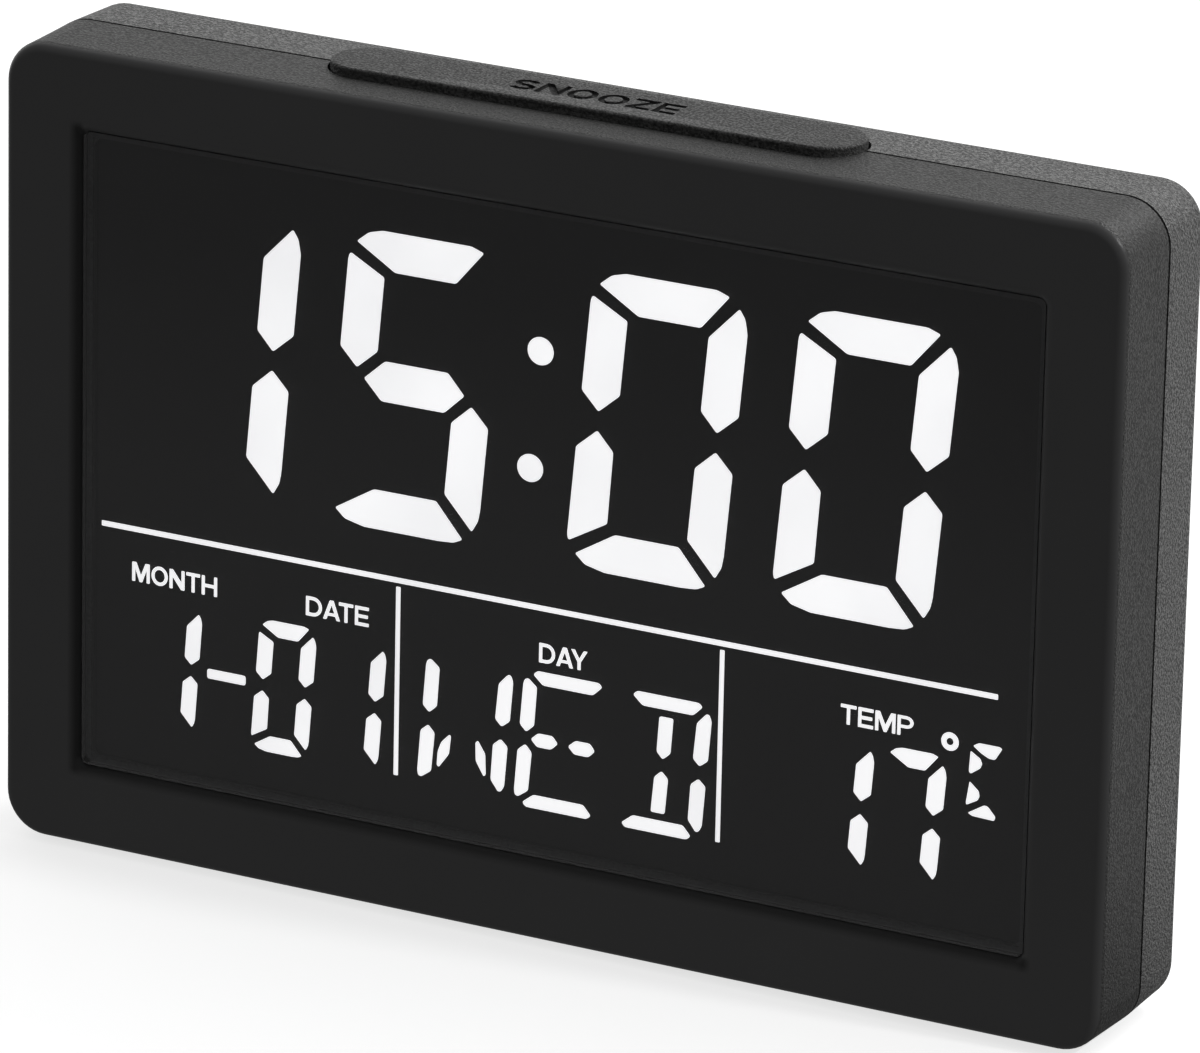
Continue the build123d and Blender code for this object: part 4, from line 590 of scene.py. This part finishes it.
def figures(text, places, row, stroke, height, width, spread, slant, corner):
    """A row of seven-bar figures at these places."""
    bars = seven_bars(width, height, stroke, spread)
    outlines = []
    for letter, place in zip(text, places):
        outlines += leaning([bars[bar] for bar in FIGURES[letter]], place, row, slant, corner)
    return outlines


def strip(left, right, bottom, top, corner=0.1):
    """A straight upright or level strip."""
    return rounded([(left, top), (right, top), (right, bottom), (left, bottom)], corner)


def disc(middle_x, middle_z, radius, steps=32):
    """A round outline."""
    turns = [2 * math.pi * step / steps for step in range(steps)]
    return [(middle_x + radius * math.cos(turn), middle_z + radius * math.sin(turn)) for turn in turns]


# ------------------------------------------------------------------ display
# Rows, places and sizes are in millimetres; a slant is a lean to the right for each millimetre of height.
TIME_ROW = 64.14
LOWER_ROW = 22.3
TEMPERATURE_ROW = LOWER_ROW - 0.3
TIME_FIGURE = {"stroke": 5.0, "height": 37.8, "width": 20.94, "spread": 0.0, "slant": 0.085, "corner": 0.3}
SMALL_FIGURE = {"height": 17.16, "width": 8.04, "spread": 0.18, "slant": 0.073, "corner": 0.2}
DATE_STROKE = 2.07
TEMPERATURE_STROKE = 2.3
COLON_DOT = 1.75
LETTER_CORNER = 0.3
# The small C of the temperature is four wedges, each with the radius of its corners.
SMALL_C = (
    (0.2, [(56.05, 32.6), (56.8, 33.05), (59.5, 33.05), (59.85, 32.85), (58.95, 31.35), (58.2, 31.35),
           (57.2, 31.8)]),
    (0.15, [(55.75, 31.9), (57.05, 31.1), (57.3, 30.5), (57.05, 29.9), (55.85, 29.05), (55.6, 29.3)]),
    (0.15, [(55.75, 28.05), (56.95, 27.05), (57.1, 26.4), (56.85, 25.85), (55.4, 25.05), (55.35, 25.4)]),
    (0.15, [(55.65, 24.1), (57.75, 25.4), (58.25, 25.3), (59.25, 24.2), (59.1, 23.7), (56.2, 23.8)]),
)

time_bars = figures("1500", (-47.06, -19.62, 13.26, 40.87), TIME_ROW, **TIME_FIGURE)
time_bars += [disc(-2.53, 71.56, COLON_DOT), disc(-3.65, 56.68, COLON_DOT)]
lit_films("time_figures", time_bars)

lower_bars = figures("101", (-53.16, -37.12, -27.37), LOWER_ROW, DATE_STROKE, **SMALL_FIGURE)
lower_bars.append(strip(-47.89, -42.48, 21.73, 22.98, 0.35))
lower_bars += figures("17", (38.72, 48.25), TEMPERATURE_ROW, TEMPERATURE_STROKE, **SMALL_FIGURE)
for letter, place in (("W", -11.88), ("E", 1.48), ("D", 15.03)):
    bars = [LETTER_BARS[bar] for bar in LETTERS[letter]]
    lower_bars += leaning(bars, place, LOWER_ROW, SMALL_FIGURE["slant"], LETTER_CORNER)
lower_bars += [rounded(wedge, corner) for corner, wedge in SMALL_C]
lit_films("date_figures", lower_bars)

level_rule = strip(-62.95, 59.05, 38.88, 39.56)
upright_rules = [strip(-21.66, -21.06, 14.1, 38.4), strip(22.39, 22.99, 13.95, 38.4)]
lit_films("display_rules", [level_rule] + upright_rules)


def ring_mesh(name, middle_x, middle_z, hole, rim, steps=28):
    """A flat ring on the display glass, in millimetres."""
    mesh = bpy.data.meshes.new(name)
    shape = bmesh.new()
    rims = [
        [shape.verts.new((DRAWING_MIDDLE + x * MM, GLASS_Y - FILM, DRAWING_FOOT + z * MM))
         for x, z in disc(middle_x, middle_z, radius, steps)]
        for radius in (hole, rim)
    ]
    for step in range(steps):
        after = (step + 1) % steps
        shape.faces.new((rims[0][step], rims[1][step], rims[1][after], rims[0][after]))
    shape.to_mesh(mesh)
    shape.free()
    return mesh


lit_piece("degree_ring", ring_mesh("degree_ring", 53.03, 32.55, 0.45, 1.16))


# ------------------------------------------------------------------ plain capitals
def arc(middle_x, middle_z, reach, rise, first, last, steps=10):
    """Points round part of an ellipse, between two angles in degrees."""
    turns = [math.radians(first + (last - first) * step / steps) for step in range(steps + 1)]
    return [(middle_x + reach * math.cos(turn), middle_z + rise * math.sin(turn)) for turn in turns]


def capital(letter, w, h, s):
    """The outlines of a plain capital of this width, height and stroke, from its lower left corner."""
    low_bar, high_bar = (h - s) / 2, (h + s) / 2
    if letter == "A":
        run = w / 2 - 0.62 * s
        bar_z, apex = 0.2 * h, h * (w / 2 - 1.12 * s) / run
        left, inner = 1.12 * s + run * bar_z / h, 1.12 * s + run * (bar_z + 0.85 * s) / h
        return [
            [(0, 0), (1.12 * s, 0), (left, bar_z), (w - left, bar_z), (w - 1.12 * s, 0), (w, 0),
             (w / 2 + 0.62 * s, h), (w / 2 - 0.62 * s, h)],
            [(inner, bar_z + 0.85 * s), (w - inner, bar_z + 0.85 * s), (w / 2, apex)],
        ]
    if letter == "D":
        reach = 0.55 * w
        return [
            [(0, 0)] + arc(w - reach, h / 2, reach, h / 2, -90, 90) + [(0, h)],
            [(s, s)] + arc(w - reach, h / 2, reach - s, h / 2 - s, -90, 90) + [(s, h - s)],
        ]
    if letter == "E":
        return [[(0, 0), (w, 0), (w, s), (s, s), (s, low_bar), (0.93 * w, low_bar), (0.93 * w, high_bar),
                 (s, high_bar), (s, h - s), (w, h - s), (w, h), (0, h)]]
    if letter == "H":
        return [[(0, 0), (s, 0), (s, low_bar), (w - s, low_bar), (w - s, 0), (w, 0), (w, h), (w - s, h),
                 (w - s, high_bar), (s, high_bar), (s, h), (0, h)]]
    if letter == "M":
        return [[(0, 0), (s, 0), (s, 0.68 * h), (w / 2 - 0.42 * s, 0), (w / 2 + 0.42 * s, 0),
                 (w - s, 0.68 * h), (w - s, 0), (w, 0), (w, h), (w - 1.4 * s, h), (w / 2, 0.36 * h),
                 (1.4 * s, h), (0, h)]]
    if letter == "N":
        return [[(0, 0), (s, 0), (s, 0.62 * h), (w - 1.1 * s, 0), (w, 0), (w, h), (w - s, h),
                 (w - s, 0.38 * h), (1.1 * s, h), (0, h)]]
    if letter == "O":
        return [
            arc(w / 2, h / 2, w / 2, h / 2, 0, 345, 23),
            arc(w / 2, h / 2, w / 2 - s, h / 2 - s, 0, 345, 23),
        ]
    if letter == "P":
        rise, reach = 0.31 * h, 0.45 * w
        return [
            [(0, 0), (s, 0), (s, h - 2 * rise)] + arc(w - reach, h - rise, reach, rise, -90, 90) + [(0, h)],
            [(s, h - 2 * rise + 0.9 * s)]
            + arc(w - reach, h - rise, reach - s, rise - 0.9 * s, -90, 90)
            + [(s, h - 0.9 * s)],
        ]
    if letter == "S":
        reach, rise = (w - s) / 2, (h - s) / 4
        line = arc(w / 2, h / 2 + rise, reach, rise, 25, 270, 14)
        line += arc(w / 2, h / 2 - rise, reach, rise, 90, -155, 14)[1:]
        sides = ([], [])
        for index, (x, z) in enumerate(line):
            ahead, behind = line[min(index + 1, len(line) - 1)], line[max(index - 1, 0)]
            run = Vector((ahead[0] - behind[0], ahead[1] - behind[1])).normalized() * s / 2
            sides[0].append((x - run.y, z + run.x))
            sides[1].append((x + run.y, z - run.x))
        return [sides[0] + sides[1][::-1]]
    if letter == "T":
        return [[((w - s) / 2, 0), ((w + s) / 2, 0), ((w + s) / 2, h - s), (w, h - s), (w, h), (0, h),
                 (0, h - s), ((w - s) / 2, h - s)]]
    if letter == "Y":
        return [[((w - s) / 2, 0), ((w + s) / 2, 0), ((w + s) / 2, 0.4 * h), (w, h), (w - 1.2 * s, h),
                 (w / 2, 0.57 * h), (1.2 * s, h), (0, h), ((w - s) / 2, 0.4 * h)]]
    # Z is the one that is left.
    return [[(0, 0), (w, 0), (w, s), (1.5 * s, s), (w, h - 0.85 * s), (w, h), (0, h), (0, h - s),
             (w - 1.5 * s, h - s), (0, 0.85 * s)]]


# Widths and gaps as shares of the height, and the pairs that are set closer.
CAPITAL_WIDTHS = {"A": 0.95, "D": 0.9, "E": 0.77, "H": 0.9, "M": 1.03, "N": 0.88, "O": 0.96, "P": 0.82,
                  "S": 0.85, "T": 0.8, "Y": 0.92, "Z": 0.82}
CAPITAL_GAP = 0.1
CLOSE_PAIRS = {"AT": -0.07, "AY": -0.12, "DA": 0.06}
# Points of a word closer than this, in millimetres, are one.
WORD_MERGE = 1e-4


def word_mesh(name, text, left, right, height, stroke, depth, corner):
    """A word of plain capitals between two ends, in millimetres in X and Y, with its depth in Z."""
    gaps = [CLOSE_PAIRS.get(text[n:n + 2], CAPITAL_GAP) * height for n in range(len(text) - 1)] + [0.0]
    widths = [CAPITAL_WIDTHS[letter] * height for letter in text]
    stretch = (right - left - sum(gaps)) / sum(widths)
    curve = bpy.data.curves.new(name, "CURVE")
    curve.dimensions = "2D"
    curve.fill_mode = "BOTH"
    curve.extrude = depth / 2
    place = left
    for letter, width, gap in zip(text, widths, gaps):
        for outline in capital(letter, width * stretch, height, stroke):
            points = rounded(outline, corner, 3)
            line = curve.splines.new("POLY")
            line.points.add(len(points) - 1)
            line.use_cyclic_u = True
            for point, (x, z) in zip(line.points, points):
                point.co = (place + x, z, 0.0, 1.0)
        place += width * stretch + gap
    holder = bpy.data.objects.new(name, curve)
    scene.collection.objects.link(holder)
    mesh = bpy.data.meshes.new_from_object(holder.evaluated_get(bpy.context.evaluated_depsgraph_get()))
    bpy.data.objects.remove(holder)
    bpy.data.curves.remove(curve)
    shape = bmesh.new()
    shape.from_mesh(mesh)
    bmesh.ops.remove_doubles(shape, verts=shape.verts, dist=WORD_MERGE)
    bmesh.ops.recalc_face_normals(shape, faces=shape.faces)
    shape.to_mesh(mesh)
    shape.free()
    mesh.name = name
    return mesh


# The words over the lower row, each with its two ends and its foot on the display, in millimetres.
LABELS = (
    ("month_word", "MONTH", -58.61, -46.6, 32.47),
    ("date_word", "DATE", -34.14, -25.39, 32.45),
    ("day_word", "DAY", -1.95, 4.62, 32.31),
    ("temperature_word", "TEMP", 38.58, 48.2, 32.13),
)
LABEL_HEIGHT = 2.5
LABEL_STROKE = 0.43
LABEL_CORNER = 0.08
for name, text, left, right, foot in LABELS:
    mesh = word_mesh(name, text, left, right, LABEL_HEIGHT, LABEL_STROKE, FILM / MM, LABEL_CORNER)
    for vertex in mesh.vertices:
        x, y, z = vertex.co * MM
        vertex.co = (DRAWING_MIDDLE + x, GLASS_Y - FILM / 2 - z, DRAWING_FOOT + foot * MM + y)
    mesh.flip_normals()
    lit_piece(name, mesh)


# ------------------------------------------------------------------ window lens
# How far the lens grows on each side to fill its pocket, and the gap left between it and its tape.
LENS_SPREAD = 0.08 * MM
LENS_CLEARANCE = 0.03 * MM


def seated_lens():
    """The lens filling its pocket, a hair clear of its tape, so that no two faces share a plane."""
    source = NODES["display_lens"]
    mesh = source.data.copy()
    mesh.name = "window_lens"
    mesh.transform(source.matrix_world)
    middle = [(lower + upper) / 2 for lower, upper in zip(LENS_LOW, LENS_HIGH)]
    size = [upper - lower for lower, upper in zip(LENS_LOW, LENS_HIGH)]
    for vertex in mesh.vertices:
        x, y, z = vertex.co
        vertex.co = (
            middle[0] + (x - middle[0]) * (1 + 2 * LENS_SPREAD / size[0]),
            LENS_LOW[1] + (y - LENS_LOW[1]) * (1 - LENS_CLEARANCE / size[1]),
            middle[2] + (z - middle[2]) * (1 + 2 * LENS_SPREAD / size[2]),
        )
    mesh.materials.clear()
    mesh.materials.append(MATERIALS["lens_acrylic"])
    piece = bpy.data.objects.new("window_lens", mesh)
    scene.collection.objects.link(piece)
    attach(piece, "housing")
    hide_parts("display_lens")


seated_lens()


# ------------------------------------------------------------------ snooze key
# The engraved word, in millimetres: its two ends, its lower edge on the key, and its letters.
ENGRAVING_LEFT, ENGRAVING_RIGHT = -11.25, 11.2
ENGRAVING_HEIGHT = 4.0
ENGRAVING_FOOT_Y = 0.5 - ENGRAVING_HEIGHT / 2
ENGRAVING_STROKE = 0.8
ENGRAVING_CORNER = 0.1
ENGRAVING_DEPTH = 0.35
# Points of the key closer than this are one, and edges turned by more than this stay sharp.
KEY_MERGE = 0.001 * MM
SHARP_EDGE = math.radians(25)


def engraved_key():
    """The snooze key with its word cut into the top; the floor of the cut is darker."""
    source = NODES["snooze_key"]
    top = high("snooze_key")[2]
    cutter_mesh = word_mesh(
        "engraving", "SNOOZE", ENGRAVING_LEFT, ENGRAVING_RIGHT, ENGRAVING_HEIGHT, ENGRAVING_STROKE,
        2 * ENGRAVING_DEPTH, ENGRAVING_CORNER,
    )
    for vertex in cutter_mesh.vertices:
        x, y, z = vertex.co
        vertex.co = (x * MM, (y + ENGRAVING_FOOT_Y) * MM, top + z * MM)
    cutter = bpy.data.objects.new("engraving", cutter_mesh)
    scene.collection.objects.link(cutter)
    mesh = source.data.copy()
    mesh.name = "engraved_snooze_key"
    mesh.transform(source.matrix_world)
    shape = bmesh.new()
    shape.from_mesh(mesh)
    bmesh.ops.remove_doubles(shape, verts=shape.verts, dist=KEY_MERGE)
    shape.to_mesh(mesh)
    shape.free()
    mesh.materials.clear()
    for target in (mesh, cutter_mesh):
        target.materials.append(MATERIALS["snooze_plastic"])
        target.materials.append(MATERIALS["engraving_shade"])
    for face in cutter_mesh.polygons:
        face.material_index = 1
    blank = bpy.data.objects.new("blank_key", mesh)
    scene.collection.objects.link(blank)
    cut = blank.modifiers.new("engrave", "BOOLEAN")
    cut.operation = "DIFFERENCE"
    cut.solver = "EXACT"
    cut.object = cutter
    bpy.context.view_layer.update()
    result = bpy.data.meshes.new_from_object(blank.evaluated_get(bpy.context.evaluated_depsgraph_get()))
    bpy.data.objects.remove(blank)
    bpy.data.objects.remove(cutter)
    for face in result.polygons:
        face.use_smooth = True
    result.set_sharp_from_angle(angle=SHARP_EDGE)
    piece = bpy.data.objects.new("engraved_snooze_key", result)
    scene.collection.objects.link(piece)
    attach(piece, "snooze")
    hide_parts("snooze_key")


engraved_key()


# ------------------------------------------------------------------ studio
FLOOR_REACH = 3.0
PAPER_GREY = (0.42, 0.42, 0.42, 1.0)
PAPER_GLOW = 0.72
# What the floor gives to mirrors and other pieces: dim in front of the clock, bright from its middle back.
FRONT_FLOOR = {"start": -0.24, "end": -0.14, "first": 0.145, "last": 0.185}
BACK_FLOOR = {"start": 0.0, "end": 0.07, "first": 0.0, "last": 0.62}
# What the room gives, by how far back it is seen.
ROOM = {"start": -0.3, "end": 0.3, "first": 0.30, "last": 1.0}


def floor():
    """A pale sheet: white to the camera with the clock's shadow, and a plain grey to everything else."""
    mesh = bpy.data.meshes.new("floor")
    corners = [(-1, -1), (1, -1), (1, 1), (-1, 1)]
    mesh.from_pydata([(x * FLOOR_REACH, y * FLOOR_REACH, 0) for x, y in corners], [], [(0, 1, 2, 3)])
    piece = bpy.data.objects.new("floor", mesh)
    scene.collection.objects.link(piece)
    material = bpy.data.materials.new("floor_paper")
    material.use_nodes = True
    tree = material.node_tree
    link = tree.links.new
    tree.nodes.remove(tree.nodes["Principled BSDF"])
    glow = add_node(tree, "ShaderNodeEmission", Strength=PAPER_GLOW)
    paper = add_node(tree, "ShaderNodeBsdfDiffuse", Color=PAPER_GREY)
    seen = add_node(tree, "ShaderNodeAddShader")
    link(glow.outputs[0], seen.inputs[0])
    link(paper.outputs[0], seen.inputs[1])
    place = add_node(tree, "ShaderNodeTexCoord")
    parts = add_node(tree, "ShaderNodeSeparateXYZ")
    link(place.outputs["Object"], parts.inputs[0])
    y = parts.outputs["Y"]
    mirrored = add_node(tree, "ShaderNodeEmission")
    strength = combine(tree, "ADD", add_ramp(tree, y, **FRONT_FLOOR), add_ramp(tree, y, **BACK_FLOOR))
    link(strength, mirrored.inputs["Strength"])
    rays = add_node(tree, "ShaderNodeLightPath")
    mix = add_node(tree, "ShaderNodeMixShader")
    link(rays.outputs["Is Camera Ray"], mix.inputs["Fac"])
    link(mirrored.outputs[0], mix.inputs[1])
    link(seen.outputs[0], mix.inputs[2])
    link(mix.outputs[0], tree.nodes["Material Output"].inputs["Surface"])
    mesh.materials.append(material)


def world():
    """White to the camera; a bright sheet behind the clock and a dim room in front of it."""
    light = bpy.data.worlds.new("studio")
    scene.world = light
    light.use_nodes = True
    tree = light.node_tree
    link = tree.links.new
    background = tree.nodes["Background"]
    background.inputs["Color"].default_value = (1.0, 1.0, 1.0, 1.0)
    rays = add_node(tree, "ShaderNodeLightPath")
    place = add_node(tree, "ShaderNodeTexCoord")
    parts = add_node(tree, "ShaderNodeSeparateXYZ")
    link(place.outputs["Generated"], parts.inputs[0])
    room = add_ramp(tree, parts.outputs["Y"], **ROOM)
    link(combine(tree, "MAXIMUM", room, rays.outputs["Is Camera Ray"]), background.inputs["Strength"])


def area_light(name, place, aim, size, power):
    """A round lamp, aimed at a point."""
    data = bpy.data.lights.new(name, "AREA")
    data.shape = "DISK"
    data.size = size
    data.energy = power
    lamp = bpy.data.objects.new(name, data)
    scene.collection.objects.link(lamp)
    lamp.location = place
    lamp.rotation_euler = (Vector(aim) - Vector(place)).to_track_quat("-Z", "Y").to_euler()


floor()
world()
area_light("rear_softbox", place=(0.45, 0.9, 1.1), aim=(0, 0, 0.05), size=0.8, power=10.0)
area_light("corner_sparkle", place=(1.035, 0.065, 0.948), aim=(0.06, 0, 0.09), size=0.1, power=6.0)


# ------------------------------------------------------------------ camera
# The camera's place round the clock, its roll, and how far the aim is moved across and up the picture.
CAMERA_AZIMUTH = math.radians(27.379)
CAMERA_ELEVATION = math.radians(18.973)
CAMERA_ROLL = math.radians(1.223)
CAMERA_DISTANCE = 1194.16 * MM
CAMERA_LENS = 297.306
SENSOR_WIDTH = 36.0
NEAREST, FARTHEST = 0.05, 20.0
AIM = Vector((0, 0, 50.8 * MM))
AIM_ACROSS = -1.729 * MM
AIM_UP = 0.066 * MM


def camera():
    """The camera, turned about its own axis by the roll and moved sideways to its aim."""
    away = Vector((
        math.sin(CAMERA_AZIMUTH) * math.cos(CAMERA_ELEVATION),
        -math.cos(CAMERA_AZIMUTH) * math.cos(CAMERA_ELEVATION),
        math.sin(CAMERA_ELEVATION),
    ))
    level = (-away).cross(Vector((0, 0, 1))).normalized()
    upright = level.cross(-away)
    across = math.cos(CAMERA_ROLL) * level + math.sin(CAMERA_ROLL) * upright
    up = -math.sin(CAMERA_ROLL) * level + math.cos(CAMERA_ROLL) * upright
    place = AIM + away * CAMERA_DISTANCE - across * AIM_ACROSS - up * AIM_UP
    data = bpy.data.cameras.new("camera")
    data.lens = CAMERA_LENS
    data.sensor_width = SENSOR_WIDTH
    data.sensor_fit = "HORIZONTAL"
    data.clip_start = NEAREST
    data.clip_end = FARTHEST
    piece = bpy.data.objects.new("camera", data)
    scene.collection.objects.link(piece)
    turn = Matrix((across, up, away)).transposed().to_4x4()
    piece.matrix_world = Matrix.Translation(place) @ turn
    scene.camera = piece


camera()
scene.view_settings.view_transform = "Standard"
